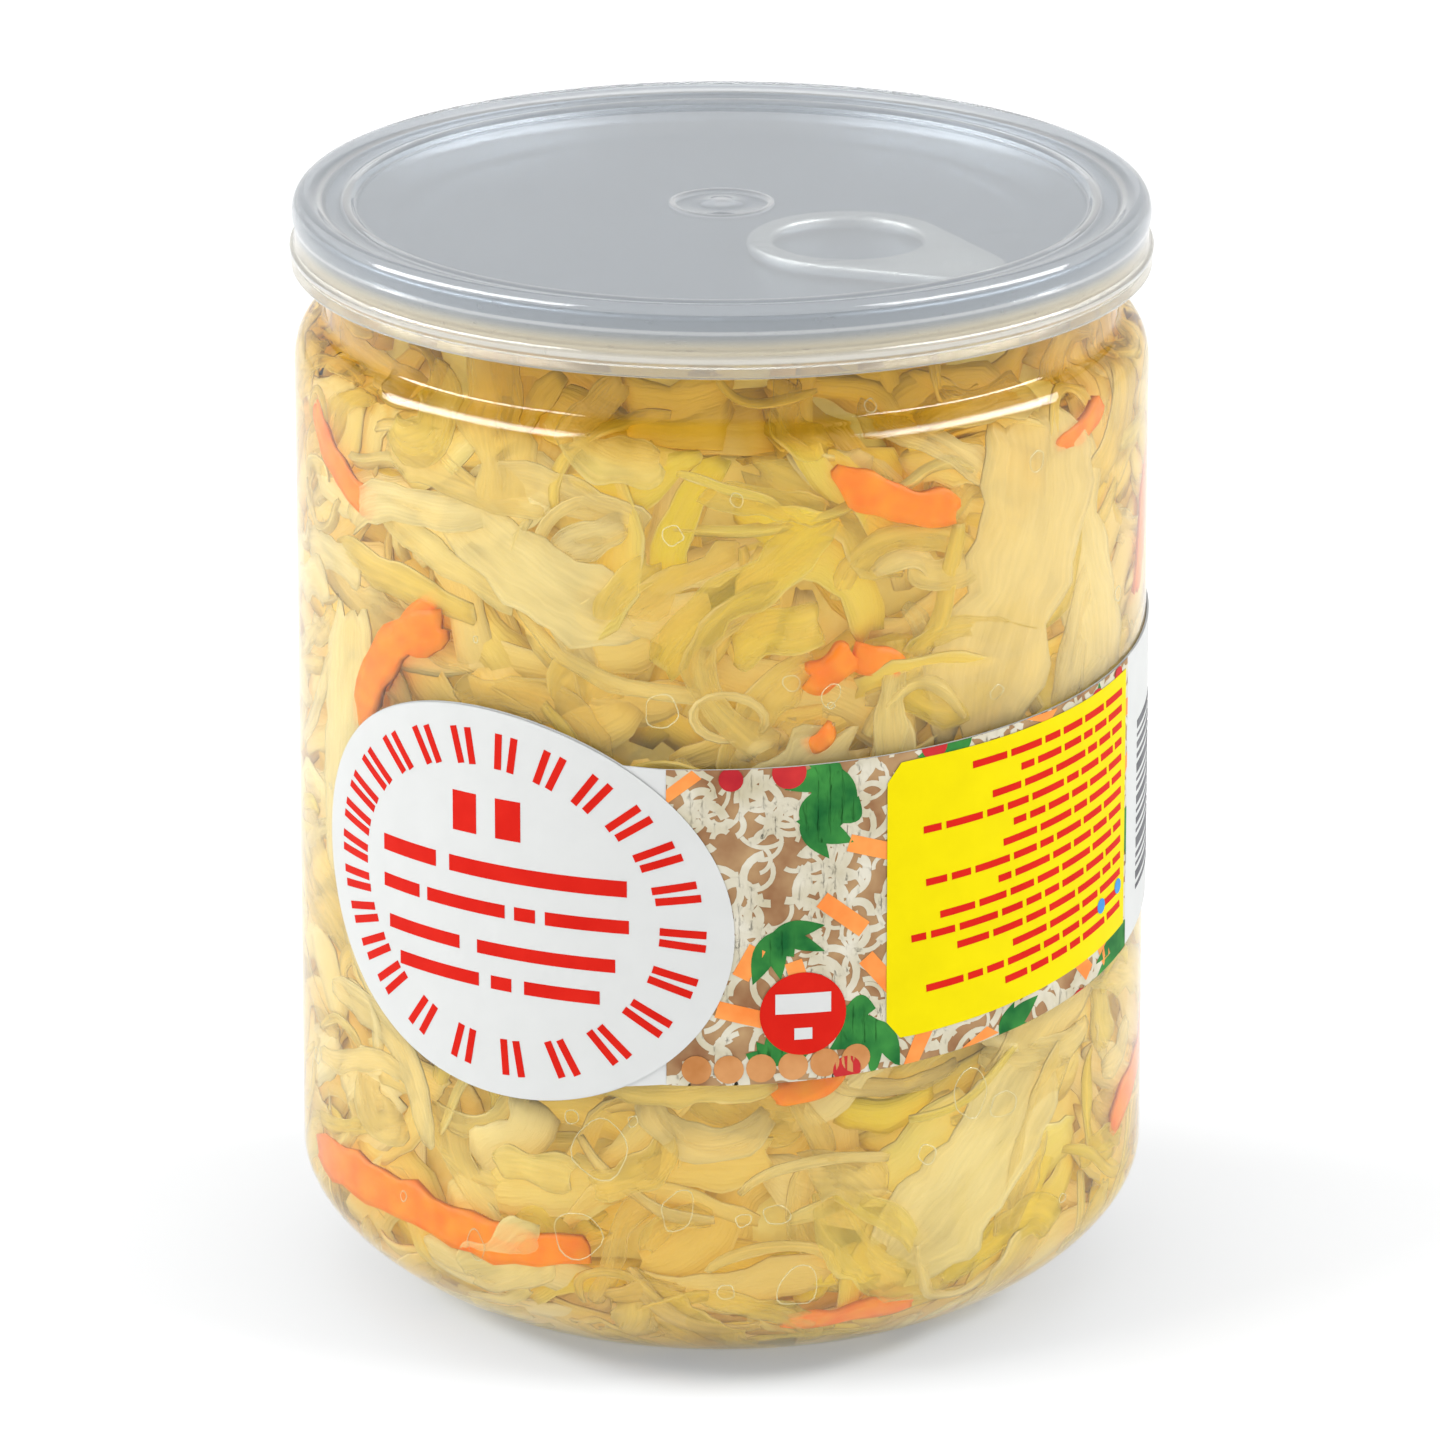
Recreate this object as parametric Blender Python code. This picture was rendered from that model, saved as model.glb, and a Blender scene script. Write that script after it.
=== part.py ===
"""A shut jar of sauerkraut: a clear plastic can with an easy-open metal end under a press-on cap.

Everything is turned about the Z axis, with the front of the jar facing -Y and its foot at Z = 0.
Lengths are written in millimetres here and scaled to metres by MM.
"""
import math
import random

import bmesh
import bpy
from mathutils import Matrix, Vector

MM = 0.001
SIDES = 44              # facets round each turned piece
CLEARANCE = 0.3         # air between pieces that touch in the real jar

# The clear can
BODY_RADIUS = 43.5
WALL = 0.8
FOOT_RADIUS = 28.7      # outer edge of the flat ring that it stands on
FOOT_WIDTH = 2.2
PUSH_UP = 4.6           # height of the dimple under the base
CORNER_TOP = 13.8       # where the rounded base meets the straight side
CORNER_PULL = 5.9       # how long the side keeps its direction into the corner
FOOT_PULL = 5.7
FOOT_ANGLE = math.radians(15)
SIDE_TOP = 97.3         # where the straight side ends and the shoulder starts
SHOULDER_TOP = 102.0
NECK_RADIUS = 40.3
FLANGE_RADIUS = 42.0
FLANGE_BOTTOM = 109.0
FLANGE_TOP = 109.8

# The metal end, seamed onto the flange
SEAM_RADIUS = 42.7
SEAM_BOTTOM = 108.7
SEAM_TOP = 113.6
SEAM_INNER = 40.8
PANEL_TOP = 110.6
PANEL_THICKNESS = 0.5
PANEL_RADIUS = 39.6
GROOVE_RADII = (30.5, 31.3, 33.2, 34.0)     # a shallow round bead pressed into the panel
GROOVE_DEPTH = 0.25
SEAM_ROUND = 0.6        # how far the seam's edges are rounded

# The pull tab, lying on the panel
TAB_HEADING = math.radians(-41)
TAB_NOSE = 36.0         # distance of its tip from the jar's axis
TAB_TAIL = 6.6
TAB_RING_RADIUS = 10.2
TAB_RIM = 2.5
TAB_NOSE_RADIUS = 5.2
TAB_BEVEL = 0.3
TAB_SIDES = 20
RIVET_PLACE = 31.4
RIVET_RADIUS = 2.3
RIVET_DEPTH = 0.5
TAB_BOTTOM = PANEL_TOP + CLEARANCE
TAB_TOP = 112.2

# The cap
CAP_TOP = 114.8
CAP_RADIUS = 43.6
CAP_INNER = SEAM_RADIUS + CLEARANCE
CAP_BOTTOM = 107.5
CAP_PANEL_TOP = 113.4
CAP_PANEL_UNDERSIDE = 112.6
CAP_RIB_RADIUS = 38.0
CAP_RIB_TOP = 114.1
CAP_RIM_UNDERSIDE = SEAM_TOP + CLEARANCE
CAP_BEAD_LEVEL = 109.4  # a fine raised line round the skirt
CAP_HOOK_LEVEL = 108.3  # the lip that clips under the seam
CAP_HOOK = 0.3
NUB_RING_RADIUS = 5.0

# The label: an oval with a strip that runs on round the jar, measured along the wall from the front
LABEL_INNER = BODY_RADIUS + CLEARANCE
LABEL_THICKNESS = 0.2
OVAL_CENTRE = (-23.7, 51.3)
OVAL_HALF = (25.2, 20.2)
OVAL_TILT = -0.156
OVAL_TURNS = 48         # points round the whole oval
STRIP_LEFT = -6.0
STRIP_RIGHT = 104.0
STRIP_LOW = 34.2        # heights of its two edges at the front
STRIP_HIGH = 67.4
STRIP_RISE = 0.02       # slope at the front
STRIP_BEND_LOW = 0.0013
STRIP_BEND_HIGH = 0.0005
STRIP_BEND_END = 62.0   # past here the strip runs straight
STRIP_END_RISE = 0.1
LABEL_LEFT = -52.0
LABEL_STEP = 3.4        # width of one flat facet of the label

# The sauerkraut
CORE_DEPTH = 1.9        # how far the packed core stays inside the wall
CONTENT_TOP = 109.2
CORE_SIDES = 30
SHRED_COUNT = 54
SHRED_STATIONS = 6
SHRED_ROOT = 0.9        # how deep a shred is sunk in the core
BODY_ZONE = (6.5, 98.5)
NECK_ZONE = (103.4, 108.2)
SEED = 21


def material(name, colour, roughness, metallic=0.0, alpha=1.0):
    made = bpy.data.materials.new(name)
    made.use_nodes = True
    shader = made.node_tree.nodes["Principled BSDF"]
    shader.inputs["Base Color"].default_value = (*colour, 1.0)
    shader.inputs["Roughness"].default_value = roughness
    shader.inputs["Metallic"].default_value = metallic
    shader.inputs["Alpha"].default_value = alpha
    made.diffuse_color = (*colour, alpha)
    return made


def add_object(name, mesh_data, finish):
    """Turn a finished bmesh, in millimetres, into a scene object in metres."""
    bmesh.ops.scale(mesh_data, vec=(MM, MM, MM), verts=mesh_data.verts)
    bmesh.ops.recalc_face_normals(mesh_data, faces=mesh_data.faces)
    mesh = bpy.data.meshes.new(name)
    mesh_data.to_mesh(mesh)
    mesh_data.free()
    mesh.shade_smooth()
    mesh.set_sharp_from_angle(angle=math.radians(35))
    mesh.materials.append(finish)
    piece = bpy.data.objects.new(name, mesh)
    bpy.context.scene.collection.objects.link(piece)
    return piece


def turned(profile, sides=SIDES):
    """Spin a profile of (radius, height) points, which starts and ends on the axis or closes on itself."""
    spun = bmesh.new()
    points = [spun.verts.new((radius, 0.0, height)) for radius, height in profile]
    edges = [spun.edges.new(pair) for pair in zip(points, points[1:])]
    if profile[0][0] > 0.0:
        edges.append(spun.edges.new((points[-1], points[0])))
    bmesh.ops.spin(spun, geom=points + edges, axis=(0, 0, 1), cent=(0, 0, 0), angle=math.tau,
                   steps=sides, use_merge=True)
    bmesh.ops.remove_doubles(spun, verts=spun.verts, dist=0.001)
    return spun


def bezier(start, pull_start, pull_end, end, count):
    """Points along one cubic curve, without its first point."""
    points = []
    for step in range(1, count + 1):
        t = step / count
        weights = ((1 - t) ** 3, 3 * t * (1 - t) ** 2, 3 * t * t * (1 - t), t ** 3)
        corners = (start, pull_start, pull_end, end)
        points.append(tuple(sum(w * c[axis] for w, c in zip(weights, corners)) for axis in (0, 1)))
    return points


def inset_profile(profile, depth):
    """Move a profile that runs from the axis outwards and up to its inner side by one wall thickness."""
    moved = []
    for index, (radius, height) in enumerate(profile):
        before = Vector(profile[max(index - 1, 0)])
        after = Vector(profile[min(index + 1, len(profile) - 1)])
        here = Vector((radius, height))
        normals = []
        for direction in (here - before, after - here):
            if direction.length > 0:
                unit = direction.normalized()
                normals.append(Vector((-unit.y, unit.x)))
        normal = sum(normals, Vector((0, 0))).normalized()
        stretch = 1.0 / max(normal.dot(normals[0]), 0.5)
        shifted = here + normal * depth * stretch
        moved.append((0.0 if radius == 0.0 else shifted.x, height + depth if radius == 0.0 else shifted.y))
    return moved


def can_outside():
    """The can's outside from the middle of its base to the top of its neck."""
    foot_inner = FOOT_RADIUS - FOOT_WIDTH
    points = [(0.0, PUSH_UP), (0.7 * foot_inner, 0.8 * PUSH_UP), (foot_inner, 0.0), (FOOT_RADIUS, 0.0)]
    foot_pull = (FOOT_RADIUS + FOOT_PULL * math.cos(FOOT_ANGLE), FOOT_PULL * math.sin(FOOT_ANGLE))
    side_pull = (BODY_RADIUS, CORNER_TOP - CORNER_PULL)
    points += bezier(points[-1], foot_pull, side_pull, (BODY_RADIUS, CORNER_TOP), 6)
    points.append((BODY_RADIUS, SIDE_TOP))
    shoulder_inner = NECK_RADIUS + 0.5
    points += bezier(points[-1], (BODY_RADIUS, SIDE_TOP + 2.9), (BODY_RADIUS - 1.2, SHOULDER_TOP - 0.3),
                     (shoulder_inner, SHOULDER_TOP), 4)
    points.append((NECK_RADIUS, SHOULDER_TOP + 0.7))
    points.append((NECK_RADIUS, FLANGE_BOTTOM))
    return points


def make_can():
    outside = can_outside()
    inside = inset_profile(outside[:-1], WALL)
    inside.append((NECK_RADIUS - WALL, FLANGE_TOP))
    flange = [(FLANGE_RADIUS, FLANGE_BOTTOM), (FLANGE_RADIUS, FLANGE_TOP)]
    clear_plastic = material("clear_plastic", (0.93, 0.95, 0.95), 0.05, alpha=0.25)
    return add_object("jar_body", turned(outside + flange + inside[::-1]), clear_plastic)


def make_metal_end(finish):
    """Panel, countersink and double seam, turned in one piece."""
    underside = PANEL_TOP - PANEL_THICKNESS
    skirt_inner = FLANGE_RADIUS + CLEARANCE
    groove = [(radius, PANEL_TOP - depth)
              for radius, depth in zip(GROOVE_RADII, (0.0, GROOVE_DEPTH, GROOVE_DEPTH, 0.0))]
    seam = [(SEAM_INNER, SEAM_TOP - SEAM_ROUND), (SEAM_INNER + SEAM_ROUND / 2, SEAM_TOP),
            (SEAM_RADIUS - SEAM_ROUND / 2, SEAM_TOP), (SEAM_RADIUS, SEAM_TOP - SEAM_ROUND)]
    top = [(0.0, PANEL_TOP)] + groove + [(PANEL_RADIUS, PANEL_TOP)] + seam
    below = [(SEAM_RADIUS, SEAM_BOTTOM), (skirt_inner, SEAM_BOTTOM), (skirt_inner, underside),
             (0.0, underside)]
    return add_object("metal_end", turned(top + below), finish)


def arc(centre, radius, start, end, count):
    """Points on an arc whose centre lies on the X axis, both ends included."""
    angles = [start + (end - start) * step / count for step in range(count + 1)]
    return [(centre + radius * math.cos(angle), radius * math.sin(angle)) for angle in angles]


def tab_outline():
    """The tab's outline, flat, with its tip towards +X: a ring that narrows to a rounded nose."""
    ring_centre = TAB_TAIL + TAB_RING_RADIUS
    nose_centre = TAB_NOSE - TAB_NOSE_RADIUS
    touch = math.acos((TAB_RING_RADIUS - TAB_NOSE_RADIUS) / (nose_centre - ring_centre))
    ring = arc(ring_centre, TAB_RING_RADIUS, touch, math.tau - touch, TAB_SIDES)
    return ring + arc(nose_centre, TAB_NOSE_RADIUS, -touch, touch, TAB_SIDES // 2)


def extruded(outline, bottom, top):
    slab = bmesh.new()
    base = slab.faces.new([slab.verts.new((x, y, bottom)) for x, y in outline])
    grown = bmesh.ops.extrude_face_region(slab, geom=[base])
    raised = [item for item in grown["geom"] if isinstance(item, bmesh.types.BMVert)]
    bmesh.ops.translate(slab, verts=raised, vec=(0, 0, top - bottom))
    return slab


def cut(piece, cutter):
    """Cut one object out of another, apply it, and remove the cutter."""
    modifier = piece.modifiers.new("cut", "BOOLEAN")
    modifier.operation = "DIFFERENCE"
    modifier.object = cutter
    depsgraph = bpy.context.evaluated_depsgraph_get()
    finished = bpy.data.meshes.new_from_object(piece.evaluated_get(depsgraph))
    piece.modifiers.clear()
    piece.data = finished
    bpy.data.objects.remove(cutter)


def make_pull_tab(finish):
    """The ring pull: an outline with a finger hole, a bevelled edge and a round recess at its rivet."""
    plate = extruded(tab_outline(), TAB_BOTTOM, TAB_TOP)
    rims = [edge for edge in plate.edges if abs(edge.verts[0].co.z - edge.verts[1].co.z) < 0.001]
    bmesh.ops.bevel(plate, geom=rims, offset=TAB_BEVEL, offset_type="OFFSET", segments=1, profile=0.5,
                    affect="EDGES", material=-1)
    tab = add_object("pull_tab", plate, finish)

    finger_hole = arc(TAB_TAIL + TAB_RING_RADIUS, TAB_RING_RADIUS - TAB_RIM, 0.0, math.tau, TAB_SIDES)[:-1]
    cut(tab, add_object("finger_hole", extruded(finger_hole, TAB_BOTTOM - 1.0, TAB_TOP + 1.0), finish))
    rivet = arc(RIVET_PLACE, RIVET_RADIUS, 0.0, math.tau, 12)[:-1]
    cut(tab, add_object("rivet_recess", extruded(rivet, TAB_TOP - RIVET_DEPTH, TAB_TOP + 1.0), finish))
    tab.data.transform(Matrix.Rotation(TAB_HEADING, 4, "Z"))
    return tab


def make_cap():
    """The press-on cap: sunken panel, rib, rolled rim over the seam, and a skirt with a bead."""
    nub = [(0.0, CAP_PANEL_TOP + 0.5), (0.8, CAP_PANEL_TOP + 0.35), (2.4, CAP_PANEL_TOP + 0.1),
           (NUB_RING_RADIUS - 0.4, CAP_PANEL_TOP), (NUB_RING_RADIUS, CAP_PANEL_TOP + 0.3),
           (NUB_RING_RADIUS + 0.4, CAP_PANEL_TOP)]
    rib = [(CAP_RIB_RADIUS - 0.7, CAP_PANEL_TOP), (CAP_RIB_RADIUS - 0.2, CAP_RIB_TOP),
           (CAP_RIB_RADIUS + 0.3, CAP_RIB_TOP), (CAP_RIB_RADIUS + 0.8, CAP_RIB_TOP - 0.2)]
    rim = [(CAP_RADIUS - 3.0, CAP_RIB_TOP), (CAP_RADIUS - 2.0, CAP_TOP - 0.15), (CAP_RADIUS - 1.3, CAP_TOP),
           (CAP_RADIUS - 0.5, CAP_TOP - 0.6), (CAP_RADIUS, CAP_TOP - 1.9)]
    skirt = [(CAP_RADIUS, CAP_BEAD_LEVEL + 0.5), (CAP_RADIUS + 0.25, CAP_BEAD_LEVEL),
             (CAP_RADIUS + 0.05, CAP_BEAD_LEVEL - 0.5), (CAP_RADIUS + 0.1, CAP_BOTTOM),
             (CAP_INNER, CAP_BOTTOM)]
    inside = [(CAP_INNER - CAP_HOOK, CAP_HOOK_LEVEL), (CAP_INNER, CAP_HOOK_LEVEL + CAP_HOOK),
              (CAP_INNER, CAP_RIM_UNDERSIDE - 0.7), (CAP_INNER - 0.6, CAP_RIM_UNDERSIDE + 0.05),
              (SEAM_INNER - 0.1, CAP_RIM_UNDERSIDE + 0.05), (SEAM_INNER - 0.6, CAP_RIM_UNDERSIDE - 0.6),
              (CAP_RIB_RADIUS + 0.2, CAP_RIM_UNDERSIDE - 0.7), (CAP_RIB_RADIUS - 0.4, CAP_PANEL_UNDERSIDE),
              (0.0, CAP_PANEL_UNDERSIDE)]
    milky_plastic = material("milky_plastic", (0.78, 0.8, 0.82), 0.3, alpha=0.5)
    return add_object("overcap", turned(nub + rib + rim + skirt + inside), milky_plastic)


def strip_edges(along):
    """Lower and upper edge of the strip at a distance along the wall; it rises and bends a little."""
    bent = min(along, STRIP_BEND_END)
    straight = STRIP_END_RISE * (along - bent)
    lower = STRIP_LOW + STRIP_RISE * bent + STRIP_BEND_LOW * bent * bent + straight
    upper = STRIP_HIGH + STRIP_RISE * bent + STRIP_BEND_HIGH * bent * bent + straight
    return lower, upper


def oval_point(angle):
    across, up = OVAL_HALF[0] * math.cos(angle), OVAL_HALF[1] * math.sin(angle)
    along = OVAL_CENTRE[0] + across * math.cos(OVAL_TILT) - up * math.sin(OVAL_TILT)
    return along, OVAL_CENTRE[1] + across * math.sin(OVAL_TILT) + up * math.cos(OVAL_TILT)


def label_outline():
    """Once round the label: the oval where it stands clear of the strip, then along the strip."""
    outline = []
    for step in range(OVAL_TURNS):
        along, height = oval_point(math.tau * (step + 0.5) / OVAL_TURNS)
        lower, upper = strip_edges(along)
        if along < OVAL_CENTRE[0] or not lower < height < upper:
            outline.append((along, height))
    places = [STRIP_LEFT + (STRIP_RIGHT - STRIP_LEFT) * step / 16 for step in range(17)]
    lower_run = [(along, strip_edges(along)[0]) for along in places]
    upper_run = [(along, strip_edges(along)[1]) for along in reversed(places)]
    return outline + lower_run + upper_run


def make_label():
    """A die-cut skin: a flat face sliced into facets, thickened, then rolled round the can."""
    skin = bmesh.new()
    skin.faces.new([skin.verts.new((along, 0.0, height)) for along, height in label_outline()])
    along = LABEL_LEFT
    while along < STRIP_RIGHT:
        bmesh.ops.bisect_plane(skin, geom=skin.verts[:] + skin.edges[:] + skin.faces[:], dist=0.01,
                               plane_co=(along, 0, 0), plane_no=(1, 0, 0))
        along += LABEL_STEP
    grown = bmesh.ops.extrude_face_region(skin, geom=skin.faces[:])
    raised = [item for item in grown["geom"] if isinstance(item, bmesh.types.BMVert)]
    bmesh.ops.translate(skin, verts=raised, vec=(0, -LABEL_THICKNESS, 0))
    for vert in skin.verts:
        angle = vert.co.x / BODY_RADIUS
        radius = LABEL_INNER - vert.co.y
        vert.co = Vector((radius * math.sin(angle), -radius * math.cos(angle), vert.co.z))
    paper = material("label_paper", (0.9, 0.88, 0.8), 0.45)
    return add_object("label", skin, paper)


def core_profile():
    """The packed core follows the inside of the can at a fixed depth."""
    inside = inset_profile(can_outside()[:-1], WALL + CORE_DEPTH)
    return inside + [(NECK_RADIUS - WALL - CORE_DEPTH, CONTENT_TOP), (0.0, CONTENT_TOP)]


def core_radius(height):
    """Radius of the core at a height between the foot and the top of the contents."""
    side = core_profile()[3:-1]
    for (r0, z0), (r1, z1) in zip(side, side[1:]):
        if z0 <= height <= z1:
            return r0 + (r1 - r0) * (height - z0) / max(z1 - z0, 1e-6)
    return side[-1][0] if height > side[-1][1] else side[0][0]


def fit_between(heights, lowest, highest):
    """Shift a list of heights, and squeeze it if it must be, so that it lies between two levels."""
    low, high = min(heights), max(heights)
    scale = min(1.0, (highest - lowest) / (high - low))
    half = 0.5 * scale * (high - low)
    middle = 0.5 * (low + high)
    moved_middle = min(max(middle, lowest + half), highest - half)
    return [moved_middle + (height - middle) * scale for height in heights]


def shred(along, height, heading, length, width, bend, stand):
    """One shred lying on the core: a flat strip on a curved path that tapers at both ends."""
    path = []
    for station in range(SHRED_STATIONS):
        t = station / (SHRED_STATIONS - 1) - 0.5
        direction = heading + bend * t
        half = 0.5 * width * (1.0 - 1.6 * t * t)
        for side in (-1, 1):
            path.append((along + length * t * math.cos(direction) - side * half * math.sin(direction),
                         height + length * t * math.sin(direction) + side * half * math.cos(direction)))
    zone = BODY_ZONE if height < NECK_ZONE[0] else NECK_ZONE
    heights = fit_between([z for a, z in path], *zone)

    strip = bmesh.new()
    sections = []
    for station in range(SHRED_STATIONS):
        corners = []
        for side, outward in ((0, False), (1, False), (1, True), (0, True)):
            place = 2 * station + side
            z = heights[place]
            radius = core_radius(z) + (stand if outward else -SHRED_ROOT)
            angle = path[place][0] / BODY_RADIUS
            corners.append(strip.verts.new((radius * math.sin(angle), -radius * math.cos(angle), z)))
        sections.append(corners)
    for first, second in zip(sections, sections[1:]):
        for corner in range(4):
            after = (corner + 1) % 4
            strip.faces.new((first[corner], first[after], second[after], second[corner]))
    strip.faces.new(sections[0][::-1])
    strip.faces.new(sections[-1])
    return strip


# Carrot pieces seen through the wall: (along, height, heading, length, width, bend)
CARROTS = [(19.0, 95.0, -0.35, 13.0, 3.6, 0.5), (44.0, 97.0, 0.0, 8.0, 2.6, 0.2),
           (-39.5, 71.0, 0.95, 24.0, 4.4, -0.8), (-52.0, 92.5, -0.3, 17.0, 3.4, 0.3),
           (-38.0, 14.5, -0.05, 42.0, 4.2, 0.25), (13.0, 77.0, 0.1, 7.0, 2.4, 0.4),
           (8.0, 8.5, 0.1, 12.0, 3.0, 0.2), (62.0, 24.0, 0.7, 20.0, 3.6, 0.5),
           (95.0, 62.0, -0.6, 22.0, 3.8, 0.6), (-90.0, 44.0, 0.5, 20.0, 3.6, -0.5),
           (128.0, 30.0, 0.1, 18.0, 3.4, 0.4), (-115.0, 84.0, -0.2, 16.0, 3.4, 0.5)]


def keep_largest_shell(piece):
    """Drop loose scraps and fill sealed pockets: only the outermost shell of the mesh stays."""
    shells = bmesh.new()
    shells.from_mesh(piece.data)
    bmesh.ops.remove_doubles(shells, verts=shells.verts, dist=1e-6)
    bmesh.ops.triangulate(shells, faces=shells.faces)
    unseen = set(shells.verts)
    groups = []
    while unseen:
        group = [unseen.pop()]
        for vert in group:
            for edge in vert.link_edges:
                other = edge.other_vert(vert)
                if other in unseen:
                    unseen.remove(other)
                    group.append(other)
        groups.append(group)
    groups.sort(key=len)
    for group in groups[:-1]:
        bmesh.ops.delete(shells, geom=group, context="VERTS")
    shells.to_mesh(piece.data)
    shells.free()


def make_sauerkraut():
    """The packed shreds as one heap: a core with the shreds that show against the wall fused on."""
    draw = random.Random(SEED)
    shredded = material("sauerkraut", (0.75, 0.6, 0.25), 0.4)
    heap = add_object("sauerkraut", turned(core_profile(), CORE_SIDES), shredded)
    loose = bpy.data.collections.new("loose_shreds")
    bpy.context.scene.collection.children.link(loose)
    placed = [(*carrot, 1.15) for carrot in CARROTS]
    around = math.tau * BODY_RADIUS
    for index in range(SHRED_COUNT):
        along = around * (index * 0.618034 % 1.0) - around / 2
        height = 9.0 + 98.0 * (index + 0.5) / SHRED_COUNT
        heading = draw.uniform(-0.9, 0.9)
        placed.append((along, height, heading, draw.uniform(15, 30), draw.uniform(3.2, 7.0),
                       draw.uniform(-1.1, 1.1), draw.uniform(0.75, 1.2)))
    for index, values in enumerate(placed):
        piece = add_object(f"shred_{index:02d}", shred(*values), shredded)
        bpy.context.scene.collection.objects.unlink(piece)
        loose.objects.link(piece)

    joined = heap.modifiers.new("fuse", "BOOLEAN")
    joined.operation = "UNION"
    joined.operand_type = "COLLECTION"
    joined.collection = loose
    depsgraph = bpy.context.evaluated_depsgraph_get()
    fused = bpy.data.meshes.new_from_object(heap.evaluated_get(depsgraph))
    heap.modifiers.clear()
    heap.data = fused
    for piece in list(loose.objects):
        bpy.data.objects.remove(piece)
    bpy.data.collections.remove(loose)
    keep_largest_shell(heap)
    return heap


def main():
    for old in list(bpy.data.objects):
        bpy.data.objects.remove(old)
    aluminium = material("aluminium", (0.66, 0.69, 0.73), 0.3, metallic=1.0)
    make_can()
    make_metal_end(aluminium)
    make_pull_tab(aluminium)
    make_cap()
    make_label()
    make_sauerkraut()
    for piece in bpy.data.objects:
        piece.data.calc_loop_triangles()
        print(piece.name, len(piece.data.loop_triangles), "triangles")


main()
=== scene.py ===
# %% [markdown]
# # A shut jar of sauerkraut
#
# The real thing is a clear plastic can, seamed shut with a metal end and covered with a milky cap.
# It is packed to the top with wet cabbage shreds and a few strips of carrot, and a film label runs round it.
# This lesson loads the solid model of the jar as a fixed frame and dresses it, piece by piece.
# Each step says what a piece is on the real object, how it could be made, and why this way was chosen.

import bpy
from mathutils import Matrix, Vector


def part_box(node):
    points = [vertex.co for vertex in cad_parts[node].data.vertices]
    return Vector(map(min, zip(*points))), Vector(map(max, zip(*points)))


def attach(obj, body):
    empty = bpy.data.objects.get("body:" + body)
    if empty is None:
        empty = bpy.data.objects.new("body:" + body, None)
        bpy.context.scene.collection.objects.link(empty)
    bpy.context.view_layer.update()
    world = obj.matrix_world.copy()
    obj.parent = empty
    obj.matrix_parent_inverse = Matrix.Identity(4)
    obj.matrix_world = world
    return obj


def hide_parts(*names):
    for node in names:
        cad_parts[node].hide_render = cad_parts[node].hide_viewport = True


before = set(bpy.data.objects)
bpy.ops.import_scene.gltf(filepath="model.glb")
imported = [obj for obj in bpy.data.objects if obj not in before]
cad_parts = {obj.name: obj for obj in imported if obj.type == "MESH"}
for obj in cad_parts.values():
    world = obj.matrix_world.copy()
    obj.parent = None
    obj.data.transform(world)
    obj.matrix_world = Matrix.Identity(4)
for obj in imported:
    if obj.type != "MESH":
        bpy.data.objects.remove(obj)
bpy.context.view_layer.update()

# %% [markdown]
# ## Units and a few sizes
#
# The script works in millimetres, because a jar is easier to think of that way, and scales to metres last.
# The big sizes are read from the frame, so the dressed jar can't drift away from the solid one.

# %% Sizes read from the frame
import bisect
import math
import random

import bmesh
import bpy
from mathutils import Matrix, Vector, noise

MM = 0.001
TURN_STEPS = 144        # facets round a smooth turned piece
SHARP_EDGE = math.radians(40)
body_box = [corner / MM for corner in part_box("jar_body")]
seam_box = [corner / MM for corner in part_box("metal_end")]
tab_box = [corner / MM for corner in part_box("pull_tab")]
cap_box = [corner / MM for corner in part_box("overcap")]
BODY_RADIUS = body_box[1].x
FLANGE_TOP = body_box[1].z
SEAM_RADIUS = seam_box[1].x
SEAM_TOP = seam_box[1].z
SEAM_BOTTOM = seam_box[0].z
CAP_TOP = cap_box[1].z
CAP_BOTTOM = cap_box[0].z
print(f"body radius {BODY_RADIUS:.2f} mm, seam {SEAM_BOTTOM:.1f} to {SEAM_TOP:.1f}, cap to {CAP_TOP:.1f}")

# %% [markdown]
# ## Helpers for shapes
#
# A turned piece starts as a row of points, joined by edges, that `spin` sweeps once round the Z axis.
# `settle` ends every piece in the same way: it scales the mesh, points its faces outwards,
# hangs it on the jar's body and hides the solid of the frame that it stands for.

# %% Make an object from a finished bmesh
def to_object(name, shape, finish):
    """Turn a bmesh into an object with one finish."""
    mesh = bpy.data.meshes.new(name)
    shape.to_mesh(mesh)
    shape.free()
    mesh.materials.append(finish)
    made = bpy.data.objects.new(name, mesh)
    bpy.context.scene.collection.objects.link(made)
    return made


def settle(name, shape, finish, slot, *nodes, closed=True):
    """Turn a bmesh in millimetres into a piece of the jar, in metres."""
    bmesh.ops.scale(shape, vec=(MM, MM, MM), verts=shape.verts)
    if closed:
        bmesh.ops.recalc_face_normals(shape, faces=shape.faces)
    piece = to_object(name, shape, finish)
    piece.data.shade_smooth()
    piece.data.set_sharp_from_angle(angle=SHARP_EDGE)
    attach(piece, "root")
    if nodes:
        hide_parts(*nodes)
    print(f"{name}: {len(piece.data.polygons)} faces")
    return piece


# %% Turn a profile round the Z axis
def turned(profile):
    """Spin (radius, height) points that start and end on the axis, or that close on themselves."""
    spun = bmesh.new()
    points = [spun.verts.new((radius, 0.0, height)) for radius, height in profile]
    edges = [spun.edges.new(pair) for pair in zip(points, points[1:])]
    if profile[0][0] > 0.0:
        edges.append(spun.edges.new((points[-1], points[0])))
    bmesh.ops.spin(spun, geom=points + edges, axis=(0, 0, 1), cent=(0, 0, 0), angle=math.tau,
                   steps=TURN_STEPS, use_merge=True)
    bmesh.ops.remove_doubles(spun, verts=spun.verts, dist=0.001)
    return spun


def beside(radius, height, *offsets):
    """Points of a profile, each given by how far it lies out and up from one corner."""
    return [(radius + out, height + up) for out, up in offsets]


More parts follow.
